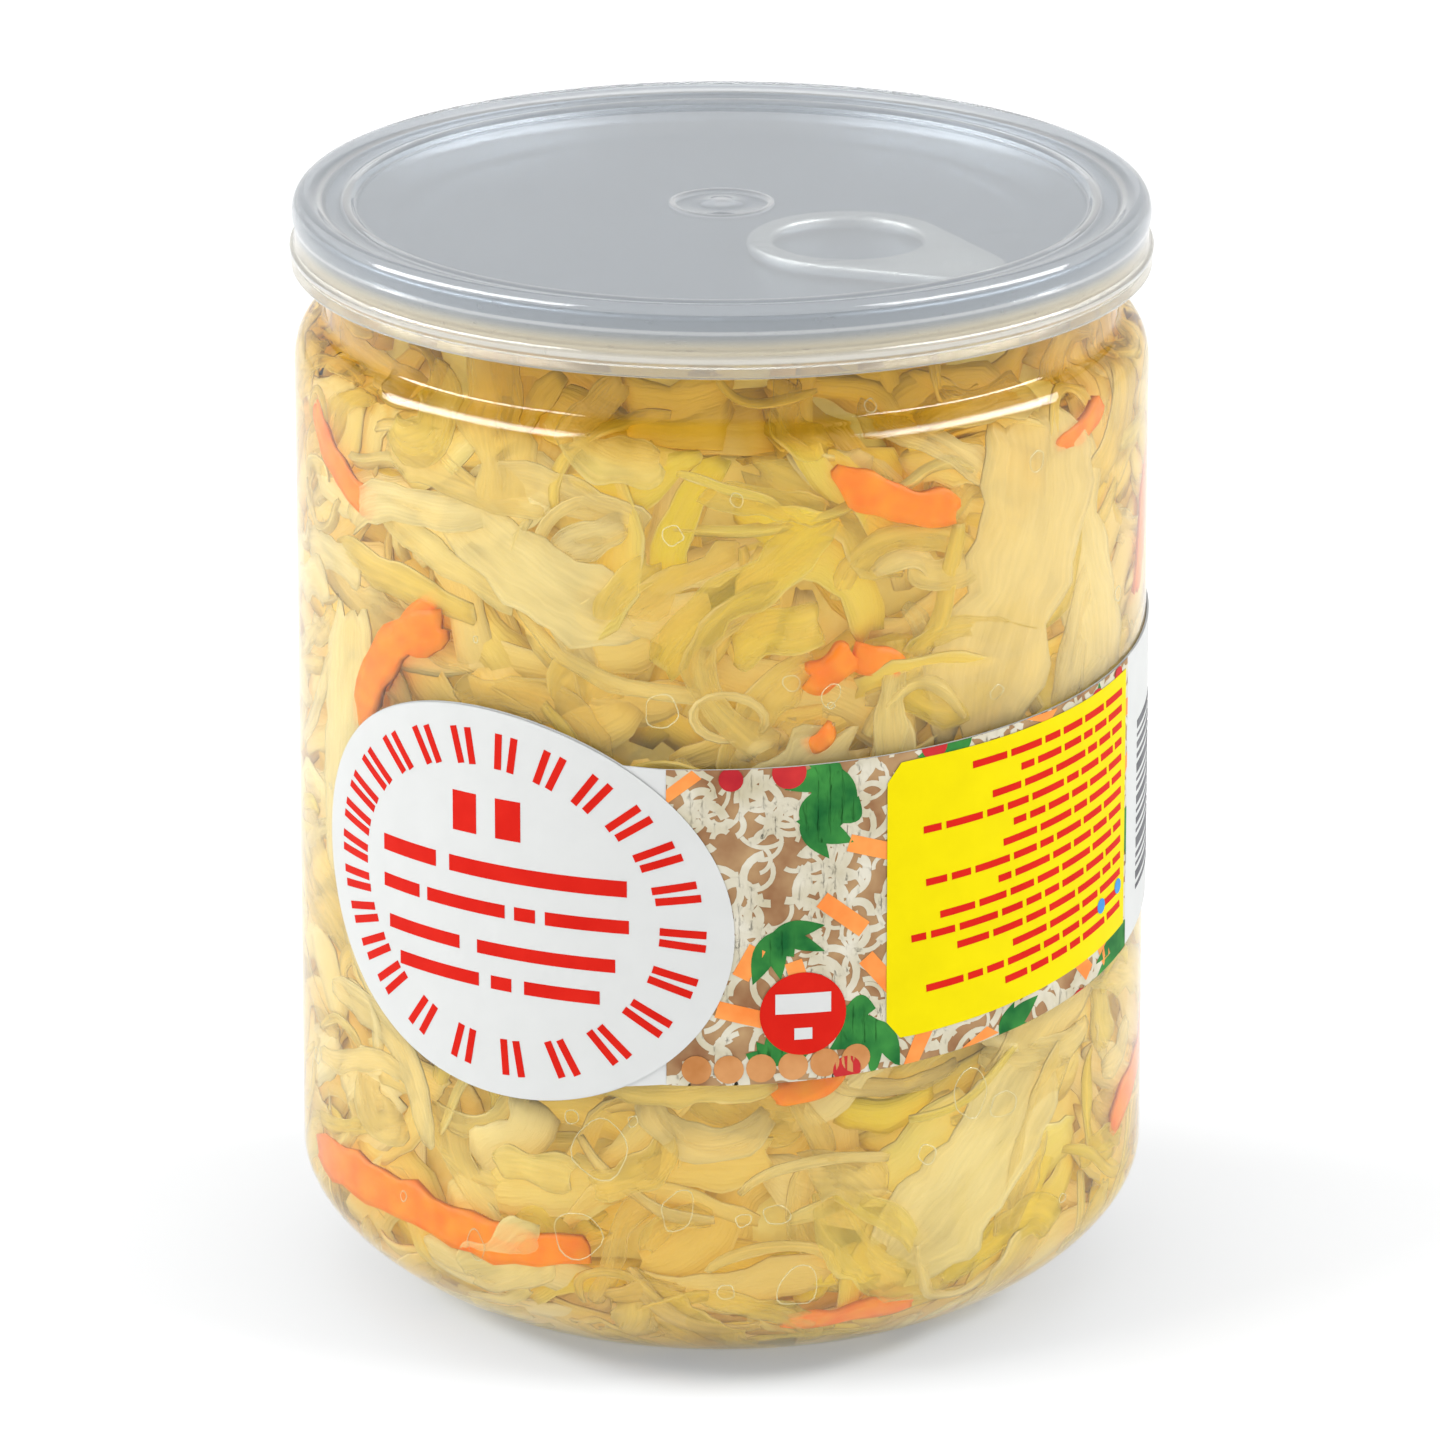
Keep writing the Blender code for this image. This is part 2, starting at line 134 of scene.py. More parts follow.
def bezier(start, pull_start, pull_end, end, count):
    """Points along one cubic curve, without its first point."""
    points = []
    for step in range(1, count + 1):
        t = step / count
        weights = ((1 - t) ** 3, 3 * t * (1 - t) ** 2, 3 * t * t * (1 - t), t ** 3)
        corners = (start, pull_start, pull_end, end)
        points.append(tuple(sum(w * c[axis] for w, c in zip(weights, corners)) for axis in (0, 1)))
    return points


def rounded(corner, before, after, reach, count=5):
    """A rounded corner: points from before it to after it, reach mm away along each side."""
    corner, before, after = Vector(corner), Vector(before), Vector(after)
    start = corner + (before - corner).normalized() * reach
    end = corner + (after - corner).normalized() * reach
    return [tuple(start)] + bezier(start, start.lerp(corner, 0.6), end.lerp(corner, 0.6), end, count)


# %% Place a point on the can's round side, or turn one on a flat sheet
def on_can(along, radius, height):
    """The point at a distance round the can from its front, at a radius and a height."""
    angle = along / BODY_RADIUS
    return Vector((radius * math.sin(angle), -radius * math.cos(angle), height))


def turned_from(place, x, y, angle):
    """The point at (x, y) from a place on a flat sheet, turned round that place."""
    return (place[0] + x * math.cos(angle) - y * math.sin(angle),
            place[1] + x * math.sin(angle) + y * math.cos(angle))


def held(value, low, high):
    """The value, kept between two limits."""
    return min(max(value, low), high)


# %% [markdown]
# ## Helpers for finishes
#
# A shader node group holds an effect that several finishes share. Here it is `uneven`: soft noise,
# mapped between a low and a high value. Plastic, metal, film and food all use it with their own numbers.

# %% A shared node group
def make_uneven():
    """Soft noise between a low and a high value, as a group that every finish can use."""
    group = bpy.data.node_groups.new("uneven", "ShaderNodeTree")
    group.interface.new_socket("Vector", in_out="INPUT", socket_type="NodeSocketVector")
    for name in ("Scale", "Detail", "Low", "High"):
        group.interface.new_socket(name, in_out="INPUT", socket_type="NodeSocketFloat")
    group.interface.new_socket("Value", in_out="OUTPUT", socket_type="NodeSocketFloat")
    given = group.nodes.new("NodeGroupInput")
    made = group.nodes.new("NodeGroupOutput")
    cloud = group.nodes.new("ShaderNodeTexNoise")
    spread = group.nodes.new("ShaderNodeMapRange")
    spread.inputs["From Min"].default_value = 0.3
    spread.inputs["From Max"].default_value = 0.7
    for name in ("Vector", "Scale", "Detail"):
        group.links.new(given.outputs[name], cloud.inputs[name])
    group.links.new(cloud.outputs["Fac"], spread.inputs["Value"])
    group.links.new(given.outputs["Low"], spread.inputs["To Min"])
    group.links.new(given.outputs["High"], spread.inputs["To Max"])
    group.links.new(spread.outputs["Result"], made.inputs["Value"])
    return group


UNEVEN = make_uneven()


# %% Build a material node by node
def start_finish(name, colour, roughness, **plain):
    """A new material with its Principled shader set to plain values."""
    finish = bpy.data.materials.new(name)
    finish.use_nodes = True
    shader = finish.node_tree.nodes["Principled BSDF"]
    shader.inputs["Base Color"].default_value = (*colour, 1.0)
    shader.inputs["Roughness"].default_value = roughness
    for socket, value in plain.items():
        shader.inputs[socket.replace("_", " ")].default_value = value
    return finish, shader


def add(finish, kind, *inputs, **settings):
    """Add a node. Inputs are values or sockets, in order; None leaves one as it is."""
    tree = finish.node_tree
    node = tree.nodes.new(kind)
    for name, value in settings.items():
        setattr(node, name, value)
    for socket, value in zip(node.inputs, inputs):
        if isinstance(value, bpy.types.NodeSocket):
            tree.links.new(value, socket)
        elif value is not None:
            socket.default_value = value
    return node


def link(finish, source, target):
    finish.node_tree.links.new(source, target)


def maths(finish, operation, *values):
    """One sum on values or sockets."""
    return add(finish, "ShaderNodeMath", *values, operation=operation).outputs[0]


def ranged(finish, value, *limits):
    """Map a value onto another range: from low, from high, to low, to high."""
    return add(finish, "ShaderNodeMapRange", value, *limits).outputs[0]


def add_uneven(finish, vector, scale, low, high, detail=3.0):
    """Place the shared group in a finish and return its value."""
    return add(finish, "ShaderNodeGroup", vector, scale, detail, low, high, node_tree=UNEVEN).outputs[0]


def add_blend(finish, share, first, second):
    """Mix two colours, by a value or a socket, and return the result."""
    node = add(finish, "ShaderNodeMix", data_type="RGBA")
    for name, value in (("Factor_Float", share), ("A_Color", first), ("B_Color", second)):
        socket = next(item for item in node.inputs if item.identifier == name)
        if isinstance(value, bpy.types.NodeSocket):
            link(finish, value, socket)
        else:
            socket.default_value = value if name == "Factor_Float" else (*value, 1.0)
    return next(item for item in node.outputs if item.identifier == "Result_Color")


def add_bump(finish, shader, height, strength, distance):
    """Feed a height, in metres of distance, to the shader's normal."""
    bump = add(finish, "ShaderNodeBump", strength, distance)
    link(finish, height, bump.inputs["Height"])
    link(finish, bump.outputs["Normal"], shader.inputs["Normal"])


def object_place(finish, stretch=(1.0, 1.0, 1.0)):
    """Object coordinates in metres, stretched along the axes where a grain runs one way."""
    place = add(finish, "ShaderNodeTexCoord").outputs["Object"]
    return add(finish, "ShaderNodeVectorMath", place, stretch, operation="MULTIPLY").outputs[0]


def from_axis(finish, place):
    """How far a place lies from the jar's axis, in metres."""
    flat = add(finish, "ShaderNodeVectorMath", place, (1.0, 1.0, 0.0), operation="MULTIPLY").outputs[0]
    return add(finish, "ShaderNodeVectorMath", flat, operation="LENGTH").outputs["Value"]


# %% [markdown]
# ## Clear finishes that let the lamps through
#
# A path tracer finds it hard to light food behind glass: each ray to a lamp would have to bend through
# the wall just so. The usual answer is a Transparent shader, mixed in for shadow rays and for soft
# bounces only. The camera still sees the real bending and gloss.

# %% Open a clear finish to the light
def let_light_in(finish, shader, tint=(1.0, 1.0, 1.0)):
    """Let shadow rays and soft bounces pass straight on, coloured by a tint."""
    path = add(finish, "ShaderNodeLightPath")
    either = maths(finish, "MAXIMUM", path.outputs["Is Shadow Ray"], path.outputs["Is Diffuse Ray"])
    open_side = add(finish, "ShaderNodeBsdfTransparent", (*tint, 1.0))
    both = add(finish, "ShaderNodeMixShader", either, shader.outputs[0], open_side.outputs[0])
    output = next(node for node in finish.node_tree.nodes if node.type == "OUTPUT_MATERIAL")
    link(finish, both.outputs[0], output.inputs["Surface"])


# %% The clear plastic of the can
def make_clear_plastic():
    """Blow-moulded plastic: clear and glossy, with the faint waviness of a thin wall."""
    finish, shader = start_finish("clear_plastic", (0.97, 0.985, 0.98), 0.0, Transmission_Weight=1.0,
                                  IOR=1.5, Specular_Tint=(0.45, 0.45, 0.45, 1.0))
    place = object_place(finish, (1.0, 1.0, 0.35))
    add_bump(finish, shader, add_uneven(finish, place, 55.0, 0.0, 1.0, 1.0), 0.25, 0.0004)
    let_light_in(finish, shader, (0.97, 0.98, 0.98))
    return finish


# %% The brine
def make_brine_finish():
    """Liquid that bends light like water; plastic touches it, so it has almost no gloss of its own."""
    finish, shader = start_finish("brine", (1.0, 0.98, 0.86), 0.0, Transmission_Weight=1.0, IOR=1.34,
                                  Specular_Tint=(0.1, 0.1, 0.1, 1.0))
    ripple = add_uneven(finish, object_place(finish), 70.0, 0.0, 1.0, 1.0)
    add_bump(finish, shader, ripple, 0.2, 0.0004)
    let_light_in(finish, shader)
    return finish


# %% The milky cap
# The cap's grey, the painted glow of the food that tints its skirt beige, and the white of its painted
# highlights
CAP_GREY, CAP_FOOD_GLOW, HIGHLIGHT_WHITE = (0.66, 0.69, 0.715), (0.82, 0.775, 0.67), (0.98, 0.98, 0.97)
SKIRT_GLOW_FULL, SKIRT_GLOW_GONE = 0.1105, 0.1120    # heights in metres between which its tint changes
# Middle and half width of each band of painted highlight, in metres
HIGHLIGHT_RADII = ((0.0, 0.0012), (0.005, 0.0004), (0.038, 0.0005), (0.0408, 0.0004))
HIGHLIGHT_LEVELS = ((0.1121, 0.0003), (0.1094, 0.0004))


def near(finish, value, middle, half):
    """1 where a value lies close to a middle, 0 beyond half the width of the band."""
    off = maths(finish, "ABSOLUTE", maths(finish, "SUBTRACT", value, middle))
    return ranged(finish, off, 0.4 * half, half, 1.0, 0.0)


def make_milky_plastic():
    """Soft moulded plastic, satin and half clear, that blurs what lies under it; white bands on its ridges
    are painted highlights, and the beige of its skirt is a painted glow of the food.
    """
    finish, shader = start_finish("milky_plastic", (0.95, 0.96, 0.97), 0.1, Transmission_Weight=0.78,
                                  IOR=1.45, Specular_Tint=(1.0, 1.0, 1.0, 1.0))
    place = object_place(finish)
    level = add(finish, "ShaderNodeSeparateXYZ", place).outputs["Z"]
    # Below the seam the skirt is tinted beige: a painted glow of the food showing through it.
    tint = add_blend(finish, ranged(finish, level, SKIRT_GLOW_FULL, SKIRT_GLOW_GONE, 1.0, 0.0), CAP_GREY, CAP_FOOD_GLOW)
    # Painted highlights: white bands along the nub, rib, rim and bead stand for the gleam on these ridges and
    # for the whiter look of their thicker plastic.
    reach = from_axis(finish, place)
    highlight_bands = [near(finish, reach, *band) for band in HIGHLIGHT_RADII]
    highlight_bands += [near(finish, level, *band) for band in HIGHLIGHT_LEVELS]
    highlight_mask = highlight_bands[0]
    for other in highlight_bands[1:]:
        highlight_mask = maths(finish, "MAXIMUM", highlight_mask, other)
    link(finish, add_blend(finish, highlight_mask, tint, HIGHLIGHT_WHITE), shader.inputs["Base Color"])
    link(finish, add_uneven(finish, place, 90.0, 0.06, 0.12), shader.inputs["Roughness"])
    let_light_in(finish, shader, (0.88, 0.90, 0.92))
    return finish


# %% Rolled aluminium: colours, and radii and heights in metres
SEAM_GREY = (0.30, 0.33, 0.36)
# The seam's lower half is painted with a reflection of the food.
SEAM_FOOD_REFLECTION = (0.80, 0.74, 0.60)          # its lower half mirrors the food
SEAM_REFLECTION_BELOW, SEAM_GREY_ABOVE = 0.1104, 0.1114
# Radii in metres over which a painted sheen lightens the panel towards its edge
EDGE_SHEEN_FROM, EDGE_SHEEN_FULL = 0.033, 0.039
SEAM_FROM, SEAM_FULL = 0.0402, 0.0412
GRAIN_STRETCH = (0.06, 1.0, 1.0)


def make_aluminium(name, dark, light):
    """Sheet metal with a rolling grain along one direction, lighter at its edge as a painted sheen, and on
    the seam, whose lower half is a painted reflection of the food.
    """
    finish, shader = start_finish(name, dark, 0.32, Metallic=1.0)
    grain = add_uneven(finish, object_place(finish, GRAIN_STRETCH), 2600.0, 0.0, 1.0, 4.0)
    link(finish, ranged(finish, grain, 0.0, 1.0, 0.26, 0.4), shader.inputs["Roughness"])
    place = object_place(finish)
    cloud = add_uneven(finish, place, 28.0, 0.0, 1.0, 1.0)
    reach = from_axis(finish, place)
    # Painted sheen: the panel grows lighter towards its edge.
    outer = ranged(finish, reach, EDGE_SHEEN_FROM, EDGE_SHEEN_FULL, 0.0, 0.7)
    panel = add_blend(finish, maths(finish, "MULTIPLY_ADD", cloud, 0.3, outer), dark, light)
    level = add(finish, "ShaderNodeSeparateXYZ", place).outputs["Z"]
    # Painted reflection of the food on the seam's lower half.
    low = ranged(finish, level, SEAM_REFLECTION_BELOW, SEAM_GREY_ABOVE, 1.0, 0.0)
    seam = add_blend(finish, low, SEAM_GREY, SEAM_FOOD_REFLECTION)
    at_seam = ranged(finish, reach, SEAM_FROM, SEAM_FULL, 0.0, 1.0)
    link(finish, add_blend(finish, at_seam, panel, seam), shader.inputs["Base Color"])
    add_bump(finish, shader, cloud, 0.1, 0.002)
    return finish


CLEAR_PLASTIC = make_clear_plastic()
BRINE = make_brine_finish()
MILKY_PLASTIC = make_milky_plastic()
ALUMINIUM = make_aluminium("aluminium", (0.26, 0.30, 0.345), (0.45, 0.48, 0.51))
# The tab's aluminium is painted far lighter than the end's: a painted highlight on its curled rims.
TAB_LIT_METAL = make_aluminium("tab_lit_aluminium", (0.92, 0.88, 0.80), (0.96, 0.93, 0.87))

# %% [markdown]
# ## The can
#
# The can is blown from one tube of plastic: a ring to stand on, a round corner, a straight side,
# a shoulder and a neck with a flange. Its wall is 0.8 mm. The profile below is the frame's own,
# with more points on its curves, and the inner line is the outer one moved in by the wall.

# %% The can's outline
WALL = 0.8
FOOT_RADIUS = 28.7
FOOT_WIDTH = 2.2
PUSH_UP = 4.6
CORNER_TOP = 13.8
CORNER_PULL = 5.9
FOOT_PULL = 5.7
FOOT_ANGLE = math.radians(15)
SIDE_TOP = 97.3
SHOULDER_TOP = 102.0
NECK_RADIUS = 40.3
FLANGE_RADIUS = 42.0
FLANGE_BOTTOM = FLANGE_TOP - 0.8


def foot_line():
    """The base from its middle to the outer edge of the ring that it stands on."""
    foot_inner = FOOT_RADIUS - FOOT_WIDTH
    return [(0.0, PUSH_UP), (0.35 * foot_inner, 0.95 * PUSH_UP), (0.7 * foot_inner, 0.8 * PUSH_UP),
            (0.88 * foot_inner, 0.42 * PUSH_UP), (foot_inner, 0.0), (FOOT_RADIUS, 0.0)]


def side_line():
    """From the foot round the corner, up the side, over the shoulder and up the neck."""
    foot_pull = (FOOT_RADIUS + FOOT_PULL * math.cos(FOOT_ANGLE), FOOT_PULL * math.sin(FOOT_ANGLE))
    corner = bezier((FOOT_RADIUS, 0.0), foot_pull, (BODY_RADIUS, CORNER_TOP - CORNER_PULL),
                    (BODY_RADIUS, CORNER_TOP), 16)
    side = [(BODY_RADIUS, CORNER_TOP + (SIDE_TOP - CORNER_TOP) * step / 20) for step in range(1, 21)]
    shoulder = bezier(side[-1], (BODY_RADIUS, SIDE_TOP + 2.9), (BODY_RADIUS - 1.2, SHOULDER_TOP - 0.3),
                      (NECK_RADIUS + 0.5, SHOULDER_TOP), 12)
    neck = beside(NECK_RADIUS, SHOULDER_TOP, (0.15, 0.25), (0.0, 0.7)) + [(NECK_RADIUS, FLANGE_BOTTOM)]
    return corner + side + shoulder + neck


def inset_line(line, depth):
    """Move a line that runs outwards and up to its inner side."""
    moved = []
    for index, (radius, height) in enumerate(line):
        before = Vector(line[max(index - 1, 0)])
        after = Vector(line[min(index + 1, len(line) - 1)])
        direction = (after - before).normalized()
        here = Vector((radius, height)) + Vector((-direction.y, direction.x)) * depth
        moved.append((0.0, height + depth) if radius == 0.0 else tuple(here))
    return moved


# %% Turn the can
outside = foot_line() + side_line()
inside = inset_line(outside[:-1], WALL) + [(NECK_RADIUS - WALL, FLANGE_TOP)]
flange = [(FLANGE_RADIUS, FLANGE_BOTTOM), (FLANGE_RADIUS, FLANGE_TOP)]
settle("jar_wall", turned(outside + flange + inside[::-1]), CLEAR_PLASTIC, "clear_plastic", "jar_body")

# %% [markdown]
# ## The metal end
#
# The end is stamped from aluminium sheet. Its rim is folded over the can's flange twice, which makes
# the seam, and its sunken panel carries a shallow round bead. Rounded corners catch the light here,
# so each corner of the profile gets its own small arc before the profile is turned.

# %% Turn the metal end
PANEL_TOP = 110.6
PANEL_UNDERSIDE = 110.1
PANEL_RADIUS = 39.6
SEAM_INNER = 40.8
GROOVE = (30.5, 31.3, 33.2, 34.0)
GROOVE_DEPTH = 0.25
HOOK_RADIUS = FLANGE_RADIUS + 0.3


def metal_line():
    """Panel, countersink and seam, with rounded corners."""
    panel_edge, wall_top = (PANEL_RADIUS, PANEL_TOP), (SEAM_INNER, SEAM_TOP)
    seam_top, seam_foot = (SEAM_RADIUS, SEAM_TOP), (SEAM_RADIUS, SEAM_BOTTOM)
    hook = (HOOK_RADIUS, SEAM_BOTTOM)
    line = [(0.0, PANEL_TOP), (GROOVE[0] - 0.6, PANEL_TOP), (GROOVE[0] - 0.2, PANEL_TOP)]
    line += bezier(line[-1], (GROOVE[0] + 0.3, PANEL_TOP), (GROOVE[1] - 0.3, PANEL_TOP - GROOVE_DEPTH),
                   (GROOVE[1] + 0.2, PANEL_TOP - GROOVE_DEPTH), 4)
    line.append((GROOVE[2] - 0.2, PANEL_TOP - GROOVE_DEPTH))
    line += bezier(line[-1], (GROOVE[2] + 0.3, PANEL_TOP - GROOVE_DEPTH), (GROOVE[3] - 0.3, PANEL_TOP),
                   (GROOVE[3] + 0.2, PANEL_TOP), 4)
    line += [(GROOVE[3] + 0.6, PANEL_TOP), (PANEL_RADIUS - 0.9, PANEL_TOP)]
    line += rounded(panel_edge, line[-1], wall_top, 0.5)
    line += rounded(wall_top, panel_edge, seam_top, 0.6)
    line += rounded(seam_top, wall_top, seam_foot, 0.6)
    line += rounded(seam_foot, seam_top, hook, 0.15, 2)
    return line + [hook, (HOOK_RADIUS, PANEL_UNDERSIDE), (0.0, PANEL_UNDERSIDE)]


settle("end_sheet", turned(metal_line()), ALUMINIUM, "aluminium", "metal_end")

# %% [markdown]
# ## The pull tab
#
# A real tab is a strip whose edges are curled under, so it looks like a thick ring with a nose.
# Two closed lines, the outline and the finger hole, are bridged to a flat plate. The plate is
# extruded and its rims are bevelled until they are round, and a low dome makes the rivet.

# %% Make the pull tab
TAB_HEADING = math.radians(-41)
TAB_NOSE = 36.0
TAB_TAIL = 6.6
TAB_RING_RADIUS = 10.2
TAB_RIM = 2.5
TAB_NOSE_RADIUS = 5.2
RIVET_PLACE = 31.4
RIVET_RADIUS = 2.1
TAB_LOW, TAB_HIGH = tab_box[0].z, tab_box[1].z


def arc(centre, radius, start, end, count):
    """Points on an arc whose centre lies on the X axis, both ends included."""
    angles = [start + (end - start) * step / count for step in range(count + 1)]
    return [(centre + radius * math.cos(angle), radius * math.sin(angle)) for angle in angles]


def closed_loop(shape, points, height):
    corners = [shape.verts.new((x, y, height)) for x, y in points]
    return [shape.edges.new(pair) for pair in zip(corners, corners[1:] + corners[:1])]


def make_pull_ring():
    ring_centre = TAB_TAIL + TAB_RING_RADIUS
    nose_centre = TAB_NOSE - TAB_NOSE_RADIUS
    touch = math.acos((TAB_RING_RADIUS - TAB_NOSE_RADIUS) / (nose_centre - ring_centre))
    outline = arc(ring_centre, TAB_RING_RADIUS, touch, math.tau - touch, 44)
    outline += arc(nose_centre, TAB_NOSE_RADIUS, -touch, touch, 20)
    hole = arc(ring_centre, TAB_RING_RADIUS - TAB_RIM, 0.0, math.tau, 48)[:-1]
    shape = bmesh.new()
    rims = closed_loop(shape, outline, TAB_LOW) + closed_loop(shape, hole, TAB_LOW)
    bmesh.ops.bridge_loops(shape, edges=rims)
    grown = bmesh.ops.extrude_face_region(shape, geom=shape.faces[:])
    raised = [item for item in grown["geom"] if isinstance(item, bmesh.types.BMVert)]
    bmesh.ops.translate(shape, verts=raised, vec=(0, 0, TAB_HIGH - TAB_LOW))
    corners = [edge for edge in shape.edges if len(edge.link_faces) == 2 and edge.calc_face_angle() > 1.2]
    bmesh.ops.bevel(shape, geom=corners, offset=0.5, offset_type="OFFSET", segments=4, profile=0.5,
                    affect="EDGES", material=-1)
    dome = bmesh.ops.create_uvsphere(shape, u_segments=24, v_segments=12, radius=RIVET_RADIUS)
    bmesh.ops.scale(shape, vec=(1, 1, 0.3), verts=dome["verts"])
    bmesh.ops.translate(shape, verts=dome["verts"], vec=(RIVET_PLACE, 0, TAB_HIGH - 0.35))
    bmesh.ops.rotate(shape, cent=(0, 0, 0), matrix=Matrix.Rotation(TAB_HEADING, 3, "Z"), verts=shape.verts)
    return settle("pull_ring", shape, TAB_LIT_METAL, "aluminium", "pull_tab")


make_pull_ring()

# %% [markdown]
# ## The cap
#
# The cap is one moulding: a flat panel with a low nub in its middle where the plastic was injected,
# a rib, a rolled rim that sits over the seam, and a skirt with a fine bead. Everything on it is round,
# so one profile and one spin make it.

# %% Turn the cap
CAP_RADIUS = 43.6
CAP_INNER = SEAM_RADIUS + 0.3
CAP_PANEL_TOP = 113.4
CAP_PANEL_UNDERSIDE = 112.6
CAP_RIB_RADIUS = 38.0
CAP_RIB_TOP = 114.1
CAP_RIM_UNDERSIDE = SEAM_TOP + 0.3
CAP_BEAD_LEVEL = 109.4
CAP_HOOK_LEVEL = 108.3
CAP_HOOK = 0.3
NUB_RING_RADIUS = 5.0


def ridge(radius, base, height, half_width):
    """Five points that raise a fine rounded ring on the cap's panel."""
    inner, side = 0.45 * half_width, 0.75 * height
    return beside(radius, base, (-half_width, 0.0), (-inner, side), (0.0, height), (inner, side),
                  (half_width, 0.0))


def cap_line():
    """Once round the cap's section: nub, panel, rib, rim and skirt, then back along the inside."""
    top = CAP_PANEL_TOP
    nub = beside(0.0, top, (0.0, 0.5), (0.5, 0.46), (0.9, 0.34), (1.5, 0.16), (2.4, 0.1))
    nub += ridge(NUB_RING_RADIUS, top, 0.1, 0.4)
    # A point close to each foot keeps the smooth shading of the flat part flat.
    nub += [(NUB_RING_RADIUS + 0.6, top), (CAP_RIB_RADIUS - 1.4, top)]
    rib = [(CAP_RIB_RADIUS - 1.1, top)]
    rib += bezier(rib[-1], (CAP_RIB_RADIUS - 0.6, top),
                  *beside(CAP_RIB_RADIUS, CAP_RIB_TOP, (-0.6, 0.0), (0.0, 0.0)), 5)
    rib += bezier(rib[-1], *beside(CAP_RIB_RADIUS, CAP_RIB_TOP, (0.4, 0.0), (0.5, -0.2), (0.9, -0.2)), 4)
    rim = [(CAP_RADIUS - 3.2, CAP_RIB_TOP - 0.1)]
    rim += bezier(rim[-1], (CAP_RADIUS - 2.6, CAP_RIB_TOP),
                  *beside(CAP_RADIUS, CAP_TOP, (-2.2, 0.0), (-1.4, 0.0)), 6)
    rim += bezier(rim[-1], *beside(CAP_RADIUS, CAP_TOP, (-0.6, 0.0), (0.0, -0.7), (0.0, -1.9)), 7)
    skirt = beside(CAP_RADIUS, CAP_TOP, (-0.05, -2.3), (-0.25, -2.7), (-0.3, -3.1))
    skirt += beside(CAP_RADIUS, CAP_BEAD_LEVEL, (-0.25, 0.8), (-0.15, 0.45), (0.2, 0.2), (0.25, 0.0),
                    (0.15, -0.25), (-0.15, -0.45), (-0.1, -0.9))
    skirt += beside(CAP_RADIUS, CAP_BOTTOM, (0.1, 0.45), (0.1, 0.25), (-0.1, 0.0))
    skirt += beside(CAP_INNER, CAP_BOTTOM, (0.1, 0.0), (0.0, 0.15))
    inner = beside(CAP_INNER, CAP_HOOK_LEVEL, (-CAP_HOOK, 0.0), (0.0, CAP_HOOK))
    inner += beside(CAP_INNER, CAP_RIM_UNDERSIDE, (0.0, -0.7), (-0.2, -0.15), (-0.6, 0.05))
    inner += beside(SEAM_INNER, CAP_RIM_UNDERSIDE, (-0.1, 0.05), (-0.6, -0.6))
    inner.append((CAP_RIB_RADIUS + 0.2, CAP_RIM_UNDERSIDE - 0.7))
    inner += beside(CAP_RIB_RADIUS, CAP_PANEL_UNDERSIDE, (-0.4, 0.0), (-0.8, 0.0))
    return nub + rib + rim + skirt + inner + [(0.0, CAP_PANEL_UNDERSIDE)]


settle("milky_cap", turned(cap_line()), MILKY_PLASTIC, "milky_plastic", "overcap")

# %% [markdown]
# ## A map of the can's inside
#
# Cabbage lies against the wall everywhere: round the corner at the bottom, up the side, under the
# shoulder and in the neck. One number, `climb`, measures the way up the inside of the wall in mm,
# so a shred can be laid anywhere by its distance round the can, its climb and its depth.

# %% Measure the way up the wall
wall_line = [Vector(point) for point in inside[5:]]
climbs = [0.0]
for lower, upper in zip(wall_line, wall_line[1:]):
    climbs.append(climbs[-1] + (upper - lower).length)
TOP_CLIMB = climbs[-1]


def into_jar(index):
    """The direction into the jar at one point of the wall line."""
    before = wall_line[max(index - 1, 0)]
    after = wall_line[min(index + 1, len(wall_line) - 1)]
    direction = (after - before).normalized()
    return Vector((-direction.y, direction.x))


inwards = [into_jar(index) for index in range(len(wall_line))]


def in_jar(along, climb, depth):
    """The point at a distance round the can, at a climb and at a depth in from the wall."""
    step = held(bisect.bisect_right(climbs, climb) - 1, 0, len(wall_line) - 2)
    share = (climb - climbs[step]) / (climbs[step + 1] - climbs[step])
    spot = wall_line[step].lerp(wall_line[step + 1], share)
    spot = spot + inwards[step].lerp(inwards[step + 1], share) * depth
    return on_can(along, spot.x, spot.y)


def climb_at(height):
    """The climb of a height on the straight side."""
    step = bisect.bisect_right([point.y for point in wall_line], height) - 1
    return climbs[step] + height - wall_line[step].y


print(f"the wall's inside is {TOP_CLIMB:.1f} mm long from foot to flange")

# %% [markdown]
# ## Cabbage, core and carrot finishes
#
# Sour cabbage is half clear: where one sheet covers another, both show. So its finish has an opacity
# below one, with a denser rim where the sheet is cut, painted paler as a highlight of the wet edge. Four
# numbers stored at every point, as a colour attribute, say how green, how pale and how dense the shred is
# there, and how much amber brine lies over it. A real volume in the brine would do the last, but takes far
# longer.

# %% The cabbage finish
CREAM = (0.89, 0.61, 0.15)
GREEN = (0.84, 0.635, 0.03)
PALE = (0.90, 0.73, 0.34)
FIBRE = (0.86, 0.56, 0.11)
BRINE_AMBER = (0.74, 0.38, 0.015)        # what a few millimetres of brine leave of white
# How far the rim's painted highlight pales the sheet, and the share of the fibres' colour
RIM_HIGHLIGHT, FIBRE_SHARE = 0.6, 0.4
RIM_COVER, FIBRE_COVER, PATCH_COVER = 0.35, 0.14, 0.3   # what each adds to a sheet's opacity
SLICE_STEP = 37.0                       # keeps the fibres of one shred apart from the next one's


